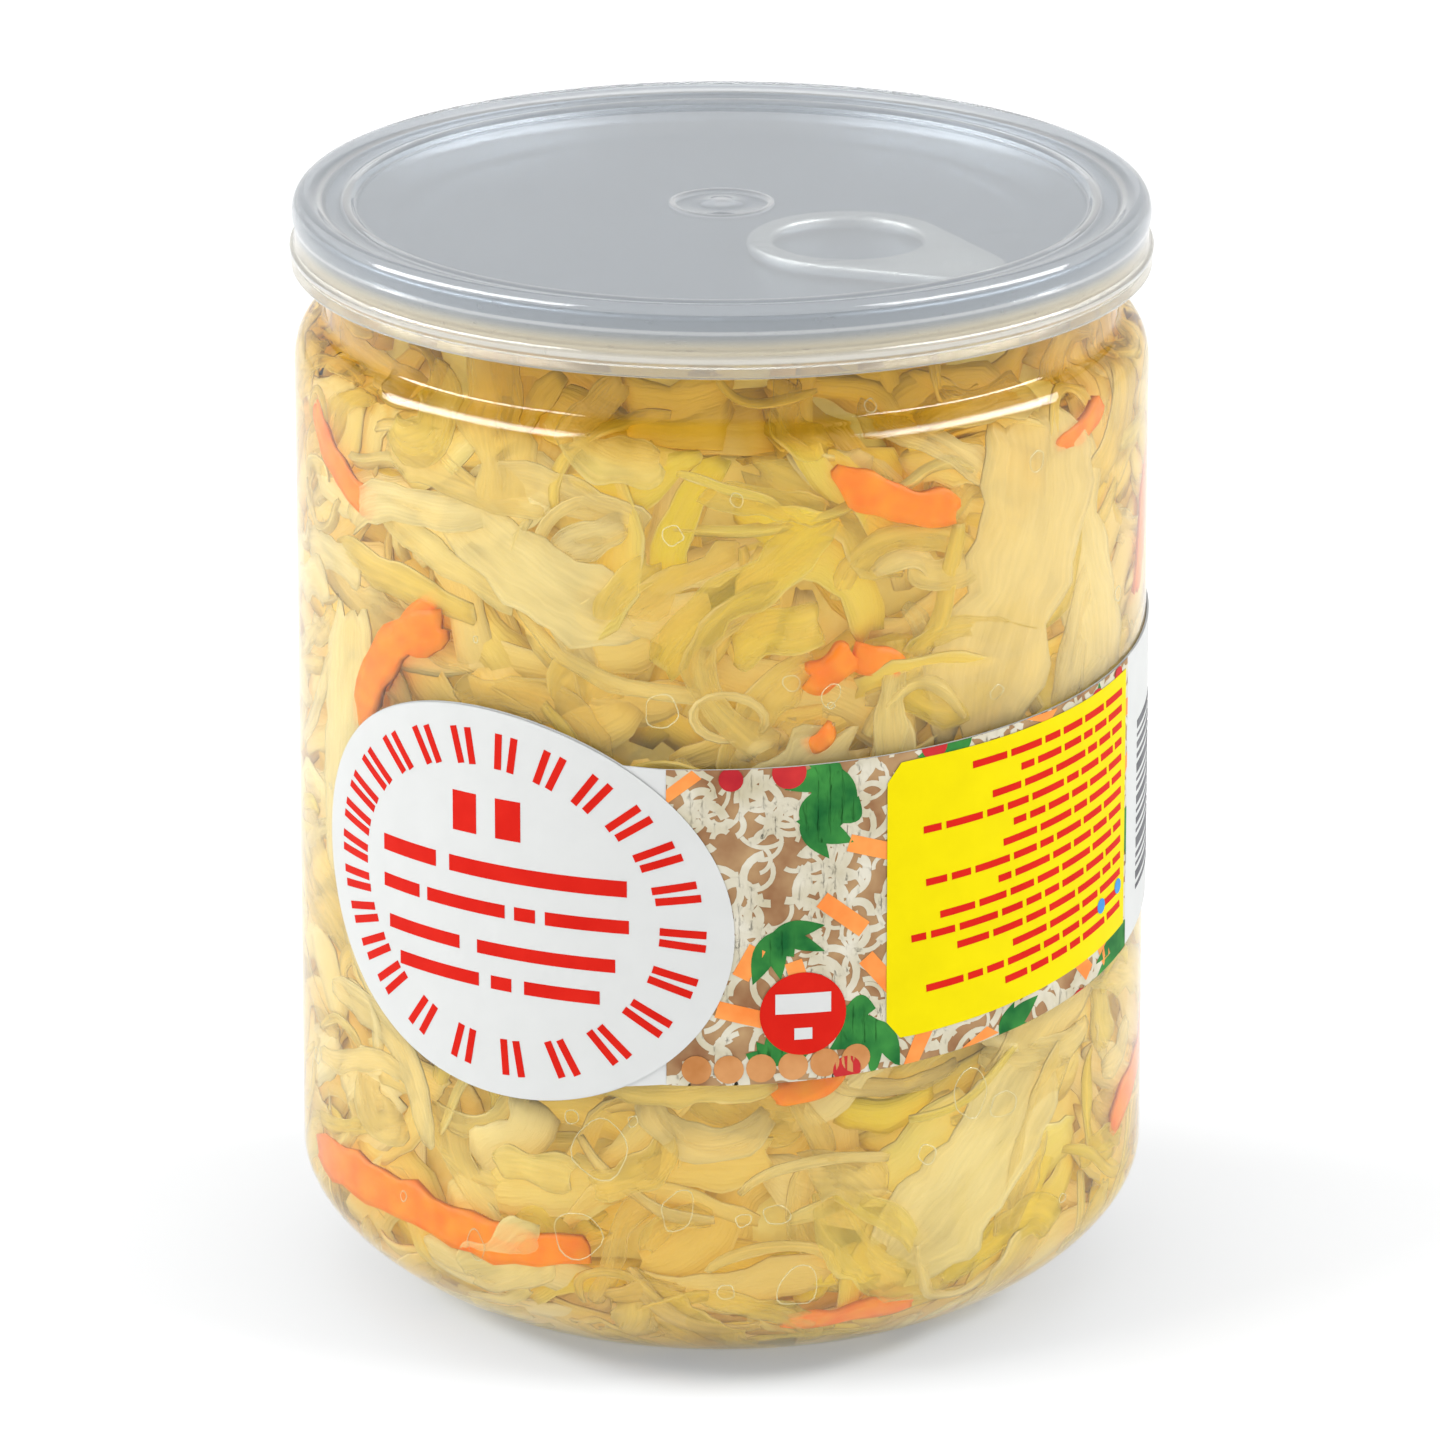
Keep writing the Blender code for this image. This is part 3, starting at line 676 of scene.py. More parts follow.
def make_cabbage_finish():
    """A half clear sheet with fibres, blotches and a rim painted paler as a highlight."""
    finish, shader = start_finish("cabbage", CREAM, 0.4, Specular_IOR_Level=0.15)
    uv = add(finish, "ShaderNodeTexCoord").outputs["UV"]
    across = add(finish, "ShaderNodeSeparateXYZ", uv)
    state = add(finish, "ShaderNodeAttribute", attribute_name="state", attribute_type="GEOMETRY")
    parts = add(finish, "ShaderNodeSeparateColor", state.outputs["Color"])
    green, pale, dense = parts.outputs[0], parts.outputs[1], parts.outputs[2]
    # The rim is where u or v is near 0 or 1, measured from the middle of the strip.
    rims = []
    for part, first in (("X", 0.475), ("Y", 0.44)):
        off_middle = maths(finish, "ABSOLUTE", maths(finish, "SUBTRACT", across.outputs[part], 0.5))
        rims.append(ranged(finish, off_middle, first, 0.5, 0.0, 1.0))
    # Fibres run along the shred, so the noise is stretched that way, with its own slice for each shred.
    slice_place = maths(finish, "MULTIPLY", pale, SLICE_STEP)
    sheet = add(finish, "ShaderNodeCombineXYZ", across.outputs["X"], across.outputs["Y"], slice_place)
    lengthwise = add(finish, "ShaderNodeVectorMath", sheet.outputs[0], (1.3, 11.0, 1.0), operation="MULTIPLY")
    fibres = add_uneven(finish, lengthwise.outputs[0], 1.6, 0.0, 1.0, 2.0)
    patches = add_uneven(finish, sheet.outputs[0], 2.4, 0.0, 1.0, 1.0)
    rim = maths(finish, "MULTIPLY", maths(finish, "MAXIMUM", *rims), patches)
    colour = add_blend(finish, green, CREAM, GREEN)
    colour = add_blend(finish, maths(finish, "MULTIPLY", fibres, FIBRE_SHARE), colour, FIBRE)
    colour = add_blend(finish, pale, colour, PALE)
    # Painted highlight: the rim is made paler, as the wet cut edge catches the light.
    colour = add_blend(finish, maths(finish, "MULTIPLY", rim, RIM_HIGHLIGHT), colour, PALE)
    colour = add_blend(finish, state.outputs["Alpha"], colour, BRINE_AMBER)
    link(finish, colour, shader.inputs["Base Color"])
    cover = maths(finish, "MULTIPLY_ADD", rim, RIM_COVER, dense)
    cover = maths(finish, "MULTIPLY_ADD", fibres, FIBRE_COVER, cover)
    cover = maths(finish, "MULTIPLY_ADD", patches, PATCH_COVER, cover)
    link(finish, cover, shader.inputs["Alpha"])
    add_bump(finish, shader, fibres, 0.3, 0.0003)
    let_light_in(finish, shader, (0.99, 0.915, 0.74))
    return finish


# %% The core's finish
def make_core_finish():
    """What shows in the gaps: deep amber brine over packed shreds."""
    finish, shader = start_finish("packed_core", (0.6, 0.42, 0.1), 0.5, Specular_IOR_Level=0.2)
    place = object_place(finish)
    patches = add_uneven(finish, place, 180.0, 0.0, 1.0, 3.0)
    colour = add_blend(finish, patches, (0.84, 0.58, 0.12), (0.92, 0.70, 0.22))
    link(finish, colour, shader.inputs["Base Color"])
    add_bump(finish, shader, patches, 0.6, 0.0012)
    return finish


# %% The carrot's finish
def make_carrot_finish():
    """Bright and a little glossy; light that passes it turns orange."""
    finish, shader = start_finish("carrot", (1.0, 0.25, 0.01), 0.4, Specular_IOR_Level=0.1)
    place = object_place(finish)
    fibres = add_uneven(finish, place, 420.0, 0.0, 1.0, 3.0)
    link(finish, add_blend(finish, fibres, (1.0, 0.19, 0.0), (1.0, 0.30, 0.01)), shader.inputs["Base Color"])
    add_bump(finish, shader, fibres, 0.3, 0.0003)
    let_light_in(finish, shader, (0.97, 0.65, 0.25))
    return finish


CABBAGE = make_cabbage_finish()
PACKED = make_core_finish()
CARROT = make_carrot_finish()
# Pale rings that stand for the rims of air bubbles: a painted highlight.
BUBBLE_HIGHLIGHT = start_finish("bubble_highlight", (1.0, 0.86, 0.50), 0.15, Alpha=0.4)[0]

# %% [markdown]
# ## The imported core
#
# Deep in the jar nothing can be told apart, so the heap has one closed core a few millimetres in
# from the wall. Its surface is pushed in and out by noise, which gives the gaps between the shreds
# their uneven, shadowed ground.

# %% Turn and roughen the core
SEED = 17
CORE_DEPTH = 4.6
CORE_RELIEF = 0.7
CORE_BASE = [(0.0, 9.0), (14.0, 8.6)]   # radius and height of the first points
CORE_CLIMB = 6.0                        # where its side begins
CORE_STEPS = 70


def make_core():
    line = CORE_BASE[:]
    for step in range(CORE_STEPS + 1):
        climb = CORE_CLIMB + (TOP_CLIMB - CORE_CLIMB - 1.0) * step / CORE_STEPS
        spot = in_jar(0.0, climb, CORE_DEPTH)
        line.append((-spot.y, spot.z))
    line += [(0.5 * line[-1][0], line[-1][1]), (0.0, line[-1][1])]
    core = turned(line)
    for vert in core.verts:
        reach = Vector((vert.co.x, vert.co.y)).length
        if reach > 20.0:
            push = noise.noise(vert.co * 0.16) + 0.5 * noise.noise(vert.co * 0.45)
            vert.co.x += vert.co.x / reach * push * CORE_RELIEF
            vert.co.y += vert.co.y / reach * push * CORE_RELIEF
    return settle("packed_core", core, PACKED, "sauerkraut", "sauerkraut")


make_core()

# %% [markdown]
# ## Laying one shred
#
# A shred is a flat strip. `create_grid` gives the flat sheet with its UV map; the points are then
# moved: along a bent middle line, torn by noise at its edges, tilted and cupped across its width,
# and diving in at its ends, so that shreds tuck under each other. All values are in mm and radians.

# %% Lay a strip in the jar
SHALLOW = 0.3           # nearest that food comes to the wall
DEEPEST = 4.4
FIRST_CLIMB, LAST_CLIMB = 0.5, TOP_CLIMB - 2.0
NECK_CLIMB = TOP_CLIMB - 12.5


def bent_line(reach, bend):
    """A point along an arc whose turning adds up to bend, and the direction there; reach is the length."""
    def at(share):
        turn = bend * share
        if abs(bend) < 0.02:
            return reach * share, 0.0, turn
        return reach * math.sin(turn) / bend, reach * (1.0 - math.cos(turn)) / bend, turn
    return at


def lay_strip(heap, state_layer, place, size, bend, depth, draw, state, segments, relief, rag):
    """Lay one strip: place is (along, climb, heading), size is (length, width)."""
    made = bmesh.ops.create_grid(heap, x_segments=segments[0], y_segments=segments[1], size=1.0,
                                 calc_uvs=True)
    along, climb, heading = place
    middle = bent_line(size[0], bend)
    tilt = draw.gauss(0.0, 0.3) * relief
    cup = draw.uniform(-0.5, 0.7) * relief
    ruffle, sway = draw.uniform(0.1, 0.5) * relief, draw.uniform(-0.08, 0.08) * size[0]
    waves, phase = draw.uniform(3.0, 8.0), draw.uniform(0.0, math.tau)
    dive = draw.uniform(0.1, 1.2)
    own = draw.uniform(0.0, 500.0)          # each strip tears along its own slice of the noise
    for vert in made["verts"]:
        u, v = vert.co.x, vert.co.y
        tear = noise.noise(Vector((0.17 * u * size[0], 1.5 * v, own)))
        end_tear = noise.noise(Vector((1.5 * u, 0.25 * v * size[1], own + 9.0)))
        ahead, aside, turn = middle(0.5 * u)
        ahead += 3.0 * rag * size[1] * end_tear * abs(u) ** 3
        aside += sway * math.sin(2.6 * u + phase)
        half = 0.5 * size[1] * (1.0 - 0.4 * abs(u) ** 6) * (1.0 + 4.0 * rag * tear)
        ahead -= v * half * math.sin(turn) * math.cos(tilt)
        aside += v * half * math.cos(turn) * math.cos(tilt)
        sunk = depth + v * half * math.sin(tilt) + cup * v * v + dive * u ** 4
        sunk += ruffle * math.sin(waves * u + phase + 0.8 * v)
        spot_along, spot_climb = turned_from((along, climb), ahead, aside, heading)
        spot_climb, sunk = held(spot_climb, FIRST_CLIMB, LAST_CLIMB), held(sunk, SHALLOW, DEEPEST)
        vert.co = in_jar(spot_along, spot_climb, sunk)
        vert[state_layer] = (*state[:3], min(state[3] + amber_over(spot_climb, sunk), 0.95))


def amber_over(climb, depth):
    """How much amber shows over food at a depth: more where it is deep, and in the neck."""
    in_neck = held((climb - NECK_CLIMB) / 3.0, 0.0, 1.0)
    return 0.13 * max(depth - 0.8, 0.0) + 0.7 * in_neck


def start_heap():
    """An empty bmesh with a UV map and the state layer that a heap of strips fills."""
    heap = bmesh.new()
    heap.loops.layers.uv.new("UVMap")
    return heap, heap.verts.layers.float_color.new("state")


CARROT_THICKNESS, SHEET_THICKNESS = 1.0, 0.35


def thicken(piece, thickness):
    """Give thin sheets their two sides and rims."""
    wall = piece.modifiers.new("thickness", "SOLIDIFY")
    wall.thickness = thickness * MM
    wall.offset = 0.0
    return piece


# %% [markdown]
# ## Carrot
#
# The carrot strips are few, so each one that shows in the photograph has its own place in a list.
# They are laid first, because the cabbage in front of them has to be kept away: where a sheet would
# cover a carrot it is laid behind it instead.

# %% Carrot strips: along, height, heading, length, width, bend, depth
CARROTS = [(18.0, 93.8, -0.38, 14.0, 3.8, 0.3, 0.9), (43.5, 96.6, 0.25, 8.5, 2.6, 0.2, 0.9),
           (-39.5, 73.0, 0.85, 21.0, 4.4, -0.9, 0.9), (-49.0, 91.5, -0.5, 17.0, 3.4, 0.3, 1.2),
           (-35.5, 14.8, 0.02, 42.0, 4.4, 0.3, 0.9), (11.2, 77.0, 0.2, 5.0, 3.6, 0.4, 1.0),
           (16.5, 77.2, -0.5, 5.0, 2.8, 0.4, 1.0), (10.1, 69.8, 0.5, 2.6, 2.0, 0.2, 0.8),
           (15.0, 7.2, 0.05, 15.0, 3.0, 0.2, 1.0), (9.0, 33.2, 0.4, 8.0, 3.0, 0.3, 1.5),
           (-37.0, 76.5, 0.95, 15.0, 2.4, -0.7, 1.1), (62.0, 24.0, 0.7, 20.0, 3.6, 0.5, 1.0),
           (62.0, 82.0, 1.2, 16.0, 3.4, 0.4, 1.2), (95.0, 62.0, -0.6, 22.0, 3.8, 0.6, 0.9),
           (-90.0, 44.0, 0.5, 20.0, 3.6, -0.5, 0.9), (128.0, 30.0, 0.1, 18.0, 3.4, 0.4, 0.9),
           (-115.0, 84.0, -0.2, 16.0, 3.4, 0.5, 0.9)]


def make_carrots():
    draw = random.Random(SEED + 2)
    heap, state_layer = start_heap()
    for along, height, heading, length, width, bend, depth in CARROTS:
        lay_strip(heap, state_layer, (along, climb_at(height), heading), (length, width), bend, depth, draw,
                  (0.0, 0.0, 1.0, 0.0), (16, 4), 0.4, 0.12)
    strips = settle("carrot_strips", heap, CARROT, "sauerkraut", "sauerkraut", closed=False)
    return thicken(strips, CARROT_THICKNESS)


def covers_carrot(place, size):
    """Whether a strip's middle line passes over one of the carrot strips."""
    along, climb, heading = place
    for step in range(-2, 3):
        spot = Vector(turned_from((along, climb), step * 0.25 * size[0], 0.0, heading))
        for carrot in CARROTS:
            away = spot - Vector((carrot[0], climb_at(carrot[1])))
            lengthwise = abs(away.x * math.cos(carrot[2]) + away.y * math.sin(carrot[2]))
            crosswise = abs(away.y * math.cos(carrot[2]) - away.x * math.sin(carrot[2]))
            if lengthwise < 0.4 * carrot[3] and crosswise < 0.5 * (carrot[4] + size[1]) - 1.3:
                return True
    return False


make_carrots()

# %% [markdown]
# ## The cabbage
#
# Sheets in a packed jar are not random: neighbours lie nearly the same way, as they were pushed down
# together. Slow noise over the wall gives that common direction. Places come from an even sequence
# that never leaves holes. Their tint also belongs to a region: yellow-green, cream, pale or amber.

# %% Directions and tints that change slowly
AROUND = math.tau * BODY_RADIUS
EVEN_STEPS = (0.7548777, 0.5698403)     # an even spread over a rectangle
# Regions at the front: along, height, reach, then how green, how pale and how amber the food is there
REGIONS = [(2, 92, 13, 0.95, 0.0, 0.1), (15, 80, 9, 0.9, 0.0, 0.25), (34, 84, 12, 0.1, 0.2, 0.3),
           (-50, 64, 12, 0.2, 0.8, 0.0), (-50, 34, 12, 0.1, 0.9, 0.0), (-29, 90, 10, 0.1, 0.7, 0.0),
           (-2, 75, 8, 0.3, 0.2, 0.35), (-34, 26, 10, 0.3, 0.5, 0.0), (-4, 12, 9, 0.2, 0.0, 0.5),
           (0, 26, 9, 0.2, 0.2, 0.1), (31, 22, 10, 0.85, 0.1, 0.05), (46, 14, 8, 1.0, 0.0, 0.2)]
PLAIN_WEIGHT = 0.3                      # how much of its own noise a place keeps beside the regions
BEHIND_CARROT = 2.4                     # depth of a sheet that would cover a carrot strip


def flow(along, climb):
    """The way that shreds lie near a place."""
    angle = along / BODY_RADIUS
    spot = Vector((math.sin(angle) * 1.9, math.cos(angle) * 1.9, climb * 0.045))
    return 1.9 * noise.noise(spot + Vector((3.1, 0.4, 7.7)))


def tint_at(along, climb):
    """How green, pale and amber the food is at a place."""
    angle = along / BODY_RADIUS
    spot = Vector((math.sin(angle) * 1.6, math.cos(angle) * 1.6, climb * 0.04))
    plain = (0.42 + 1.5 * noise.noise(spot), 0.35 + noise.noise(spot * 1.7), 0.12)
    height = in_jar(along, climb, 0.0).z
    total, sums = PLAIN_WEIGHT, [PLAIN_WEIGHT * value for value in plain]
    for middle, level, reach, *tint in REGIONS:
        weight = math.exp(-((along - middle) ** 2 + (height - level) ** 2) / reach ** 2)
        total += weight
        sums = [so_far + weight * value for so_far, value in zip(sums, tint)]
    return [held(value / total, 0.0, 1.0) for value in sums]


def state_at(along, climb, draw, opacity):
    """The four numbers of one strip: green, pale, dense and amber."""
    green, pale, amber = tint_at(along, climb)
    green = held(green + draw.gauss(0.0, 0.32), 0.0, 1.0)
    pale = held(pale + draw.gauss(0.0, 0.35), 0.0, 1.0)
    return green, pale, opacity + draw.uniform(-0.1, 0.1), amber


def spread(index, offset):
    """The place of one strip of an even series."""
    along = AROUND * ((index * EVEN_STEPS[0] + offset) % 1.0) - AROUND / 2
    climb = 3.0 + (LAST_CLIMB - 5.0) * ((index * EVEN_STEPS[1] + offset) % 1.0)
    return along, climb


# %% Sheets and ribbons, layer by layer
# Each layer: count, depths, widths, lengths, bend, opacity, relief, raggedness, segments
DEEP = [(260, (2.9, 4.0), (3.0, 7.0), (12, 28), 0.6, 1.1, 0.8, 0.1, (8, 2)),
        (360, (1.6, 2.7), (2.5, 7.0), (10, 24), 0.9, 1.1, 0.6, 0.12, (10, 3))]
FRONT = [(340, (0.6, 1.4), (1.6, 5.0), (8, 24), 1.3, 0.2, 0.4, 0.14, (14, 3)),
         (240, (0.6, 1.8), (0.9, 2.2), (8, 20), 2.2, 0.42, 1.0, 0.06, (14, 2))]


def make_cabbage(name, kinds, seed):
    """One piece of the heap, made of one or more layers of strips."""
    draw = random.Random(seed)
    heap, state_layer = start_heap()
    for number, (count, depths, widths, lengths, bend, opacity, relief, rag, segments) in enumerate(kinds):
        for index in range(count):
            along, climb = spread(index, 0.13 + 0.29 * number + 0.07 * seed)
            place = (along, climb, flow(along, climb) + draw.gauss(0.0, 0.5))
            size = (draw.uniform(*lengths), draw.uniform(*widths))
            depth = draw.uniform(*depths)
            if depth < BEHIND_CARROT and covers_carrot(place, size):
                depth = BEHIND_CARROT
            lay_strip(heap, state_layer, place, size, draw.gauss(0.0, bend), depth, draw,
                      state_at(along, climb, draw, opacity), segments, relief, rag)
    sheets = settle(name, heap, CABBAGE, "sauerkraut", "sauerkraut", closed=False)
    return thicken(sheets, SHEET_THICKNESS)


make_cabbage("cabbage_deep", DEEP, SEED)
make_cabbage("cabbage_front", FRONT, SEED + 5)

# %% [markdown]
# ## Broad leaf pieces
#
# Between the shreds lie wider pieces of leaf, pressed flat to the wall, with ragged edges.
# They are the same kind of strip, only wide, with a finer grid so that they can ruffle.

# %% Leaf pieces
LEAF_COUNT = 42
BIG_LEAF_PALE = 0.85
# The largest, placed after the photograph: along, height, heading, length, width
BIG_LEAVES = [(33.0, 84.0, 1.45, 34.0, 16.0), (45.0, 80.0, 1.6, 30.0, 11.0), (-47.0, 62.0, 1.5, 30.0, 9.0),
              (-24.0, 12.0, 0.5, 12.0, 8.0), (-20.0, 86.0, -0.4, 24.0, 8.0), (28.0, 22.0, 0.8, 26.0, 12.0)]


def make_leaves():
    draw = random.Random(SEED + 1)
    heap, state_layer = start_heap()
    for index in range(LEAF_COUNT):
        along, climb = spread(index, 0.37)
        place = (along, climb, flow(along, climb) + draw.gauss(0.0, 0.4))
        size = (draw.uniform(14, 28), draw.uniform(7, 12))
        depth = BEHIND_CARROT if covers_carrot(place, size) else draw.uniform(0.7, 2.2)
        lay_strip(heap, state_layer, place, size, draw.gauss(0.0, 0.5), depth, draw,
                  state_at(along, climb, draw, 0.2), (16, 8), 0.45, 0.12)
    for along, height, heading, length, width in BIG_LEAVES:
        climb = climb_at(height)
        green, pale, dense, amber = state_at(along, climb, draw, 0.35)
        lay_strip(heap, state_layer, (along, climb, heading), (length, width), 0.2, 0.7, draw,
                  (green, max(pale, BIG_LEAF_PALE), dense, amber), (18, 8), 0.3, 0.08)
    leaves = settle("cabbage_leaves", heap, CABBAGE, "sauerkraut", "sauerkraut", closed=False)
    return thicken(leaves, SHEET_THICKNESS)


make_leaves()

# %% [markdown]
# ## Air at the wall
#
# Small bubbles cling to the inside of the wall, flattened between plastic and food. Only their rims
# catch the light, so each one is a fine pale ring, a painted highlight, pressed a little out of round.

# %% Bubble rims: along, height, radius
BUBBLES = [(-15.0, 16.8, 2.6), (2.2, 19.5, 0.8), (-26.8, 13.9, 1.5), (-9.1, 29.7, 0.6), (5.6, 20.0, 1.4),
           (-12.5, 26.5, 3.4), (-4.5, 20.5, 2.2), (27.0, 30.0, 2.4), (31.5, 28.0, 1.8), (8.0, 12.0, 2.4),
           (11.0, 74.5, 1.2), (7.0, 76.0, 0.9), (1.5, 95.0, 0.8), (-6.0, 73.0, 1.8), (30.0, 72.0, 0.9)]
SMALL_BUBBLES = 46
BUBBLE_WIRE = 0.07
BUBBLE_DEPTH = 0.15


def lay_bubble(shape, along, climb, radius, draw):
    """A fine ring of painted highlight, spun flat from a small circle, then dented and laid against the wall.
    """
    ring = bmesh.ops.create_circle(shape, segments=6, radius=BUBBLE_WIRE)["verts"]
    bmesh.ops.rotate(shape, cent=(0, 0, 0), matrix=Matrix.Rotation(math.pi / 2, 3, "X"), verts=ring)
    bmesh.ops.translate(shape, verts=ring, vec=(radius, 0, 0))
    edges = list({edge for vert in ring for edge in vert.link_edges})
    old = set(shape.verts) - set(ring)
    bmesh.ops.spin(shape, geom=ring + edges, axis=(0, 0, 1), cent=(0, 0, 0), angle=math.tau, steps=20,
                   use_merge=True)
    turn, flat, own = draw.uniform(0.0, math.pi), draw.uniform(0.7, 1.0), draw.uniform(0.0, 99.0)
    for vert in set(shape.verts) - old:
        dent = 1.0 + 0.3 * noise.noise(Vector((vert.co.x, vert.co.y, own)) / radius)
        x, y = vert.co.x * dent, vert.co.y * dent * flat
        vert.co = in_jar(*turned_from((along, climb), x, y, turn), BUBBLE_DEPTH + vert.co.z)


def make_bubbles():
    draw = random.Random(SEED + 6)
    shape = bmesh.new()
    for along, height, radius in BUBBLES:
        lay_bubble(shape, along, climb_at(height), radius, draw)
    for index in range(SMALL_BUBBLES):
        lay_bubble(shape, *spread(index, 0.61), draw.uniform(0.3, 1.1), draw)
    return settle("bubble_highlights", shape, BUBBLE_HIGHLIGHT, "sauerkraut", "sauerkraut")


make_bubbles()

# %% [markdown]
# ## The brine
#
# The liquid fills everything between the shreds. Its solid reaches a little way into the wall, so that
# no layer of air is left between plastic and liquid, which would look like a silver film.

# %% Fill the jar
CONTENT_TOP = 109.2
BRINE_REACH = 0.35
brine_line = inset_line(outside[:-1], WALL - BRINE_REACH)
brine_line += [(NECK_RADIUS - WALL + BRINE_REACH, CONTENT_TOP), (0.0, CONTENT_TOP)]
settle("brine_fill", turned(brine_line), BRINE, "sauerkraut", "sauerkraut")

# %% [markdown]
# ## The label
#
# The label is printed film: an oval and a strip, cut in one piece. Its print is fields of colour and
# simple shapes, and every word on it is a plain bar. Each field is drawn flat, as distance round the
# can and height, then sliced into narrow facets, thickened and rolled onto the can.

# %% Finishes of film and ink
def make_print_finish(name, colour, other):
    """Ink on satin film: the colour drifts a little, as print does."""
    finish, shader = start_finish(name, colour, 0.5, Specular_IOR_Level=0.05)
    drift = add_uneven(finish, object_place(finish), 260.0, 0.0, 1.0)
    link(finish, add_blend(finish, drift, colour, other), shader.inputs["Base Color"])
    return finish


FILM = make_print_finish("label_film", (0.68, 0.69, 0.68), (0.70, 0.71, 0.70))
INK_COLOURS = {"red": ((0.64, 0.012, 0.006), (0.70, 0.018, 0.009)),
               "yellow": ((0.82, 0.68, 0.0), (0.86, 0.72, 0.0)),
               "ground": ((0.28, 0.13, 0.06), (0.50, 0.32, 0.16)),
               "green": ((0.01, 0.12, 0.03), (0.06, 0.30, 0.06)),
               "cream": ((0.56, 0.50, 0.34), (0.74, 0.70, 0.58)),
               "orange": ((0.90, 0.24, 0.05), (0.95, 0.38, 0.10)),
               "berry": ((0.45, 0.02, 0.03), (0.62, 0.04, 0.04)),
               "brown": ((0.50, 0.20, 0.06), (0.68, 0.33, 0.13)),
               "grey": ((0.12, 0.12, 0.13), (0.2, 0.2, 0.21)),
               "blue": ((0.05, 0.25, 0.62), (0.08, 0.33, 0.72))}
ink = {name: make_print_finish(f"{name}_ink", *pair) for name, pair in INK_COLOURS.items()}

# %% Roll flat shapes onto the can
FACET = 1.2             # width of one flat facet
FILM_BACK = BODY_RADIUS + 0.05
FILM_THICKNESS = 0.22
INK_LAYER = 0.03        # thickness of one layer of print


def rolled(name, shapes, start, thickness, finish, *nodes):
    """Fill flat outlines of (along, height) points, slice, thicken and roll them at a radius."""
    print_bed = bmesh.new()
    for shape in shapes:
        print_bed.faces.new([print_bed.verts.new((along, 0.0, height)) for along, height in shape])
    first = min(vert.co.x for vert in print_bed.verts)
    last = max(vert.co.x for vert in print_bed.verts)
    for step in range(1, int((last - first) / FACET) + 1):
        bmesh.ops.bisect_plane(print_bed, geom=print_bed.verts[:] + print_bed.edges[:] + print_bed.faces[:],
                               dist=0.0001, plane_co=(first + step * FACET, 0, 0), plane_no=(1, 0, 0))
    grown = bmesh.ops.extrude_face_region(print_bed, geom=print_bed.faces[:])
    raised = [item for item in grown["geom"] if isinstance(item, bmesh.types.BMVert)]
    bmesh.ops.translate(print_bed, verts=raised, vec=(0, -thickness, 0))
    for vert in print_bed.verts:
        vert.co = on_can(vert.co.x, start - vert.co.y, vert.co.z)
    return settle(name, print_bed, finish, "label_paper", *nodes)


def inked(name, shapes, layer, finish):
    """Print flat shapes as one layer of ink."""
    return rolled(name, shapes, FILM_BACK + FILM_THICKNESS + layer * INK_LAYER, INK_LAYER, finish)


# %% Flat shapes
OVAL_CENTRE = (-23.7, 51.3)
OVAL_HALF = (25.2, 20.2)
OVAL_TILT = -0.156
STRIP_LEFT, STRIP_RIGHT = -6.0, 104.0
STRIP_LOW, STRIP_HIGH = 34.2, 67.4
STRIP_RISE = 0.02
STRIP_BEND_LOW, STRIP_BEND_HIGH = 0.0013, 0.0005
STRIP_BEND_END = 62.0
STRIP_END_RISE = 0.1
OVAL_STEPS, STRIP_STEPS, PART_STEPS = 144, 48, 24


def strip_edges(along):
    """Lower and upper edge of the strip at a distance along the wall."""
    bent = min(along, STRIP_BEND_END)
    straight = STRIP_END_RISE * (along - bent)
    lower = STRIP_LOW + STRIP_RISE * bent + STRIP_BEND_LOW * bent * bent + straight
    upper = STRIP_HIGH + STRIP_RISE * bent + STRIP_BEND_HIGH * bent * bent + straight
    return lower, upper


def oval_point(angle, scale=1.0):
    """A point on the tilted oval, or on a smaller one inside it."""
    across, up = scale * OVAL_HALF[0] * math.cos(angle), scale * OVAL_HALF[1] * math.sin(angle)
    return turned_from(OVAL_CENTRE, across, up, OVAL_TILT)


def label_outline():
    """The oval where it stands clear of the strip, then along the strip."""
    outline = []
    for step in range(OVAL_STEPS):
        along, height = oval_point(math.tau * (step + 0.5) / OVAL_STEPS)
        lower, upper = strip_edges(along)
        if along < OVAL_CENTRE[0] or not lower < height < upper:
            outline.append((along, height))
    return outline + strip_part(STRIP_LEFT, STRIP_RIGHT, steps=STRIP_STEPS)


def strip_part(left, right, low_gap=0.0, high_gap=0.0, steps=PART_STEPS):
    """A stretch of the strip, with a gap left free at its lower and upper edge."""
    places = [left + (right - left) * step / steps for step in range(steps + 1)]
    lower_run = [(along, strip_edges(along)[0] + low_gap) for along in places]
    return lower_run + [(along, strip_edges(along)[1] - high_gap) for along in reversed(places)]


def round_place(along, height, radius, angles):
    """Points round a place, one at each angle."""
    return [(along + radius * math.cos(angle), height + radius * math.sin(angle)) for angle in angles]


def disc(along, height, radius, count=20):
    return round_place(along, height, radius, [math.tau * step / count for step in range(count)])


def bar(along, height, length, width, angle=0.0):
    """A plain bar round its middle, turned by an angle."""
    corners = ((-0.5, -0.5), (0.5, -0.5), (0.5, 0.5), (-0.5, 0.5))
    return [turned_from((along, height), length * x, width * y, angle) for x, y in corners]


def petal(along, height, length, width, angle, count=9):
    """A pointed leaf, drawn from its stalk."""
    sides = []
    for side, steps in ((1, range(count)), (-1, range(count, 0, -1))):
        for step in steps:
            t = step / count
            x, y = length * t, side * 0.5 * width * math.sin(math.pi * t ** 0.8)
            sides.append(turned_from((along, height), x, y, angle))
    return sides


def kept_on_strip(shape, left, right):
    """Press the points of a shape that run over the picture's edges back onto them."""
    kept = []
    for along, height in shape:
        along = held(along, left, right)
        kept.append((along, held(height, *strip_edges(along))))
    return kept


# %% The film itself
rolled("label_film", [label_outline()], FILM_BACK, FILM_THICKNESS, FILM, "label")

# %% [markdown]
# ## The picture on the strip
#
# The strip's picture is a generic one: sprigs, curls, sticks and berries, scattered by a seeded draw
# over a brown ground, in the colours of a kitchen-garden print.

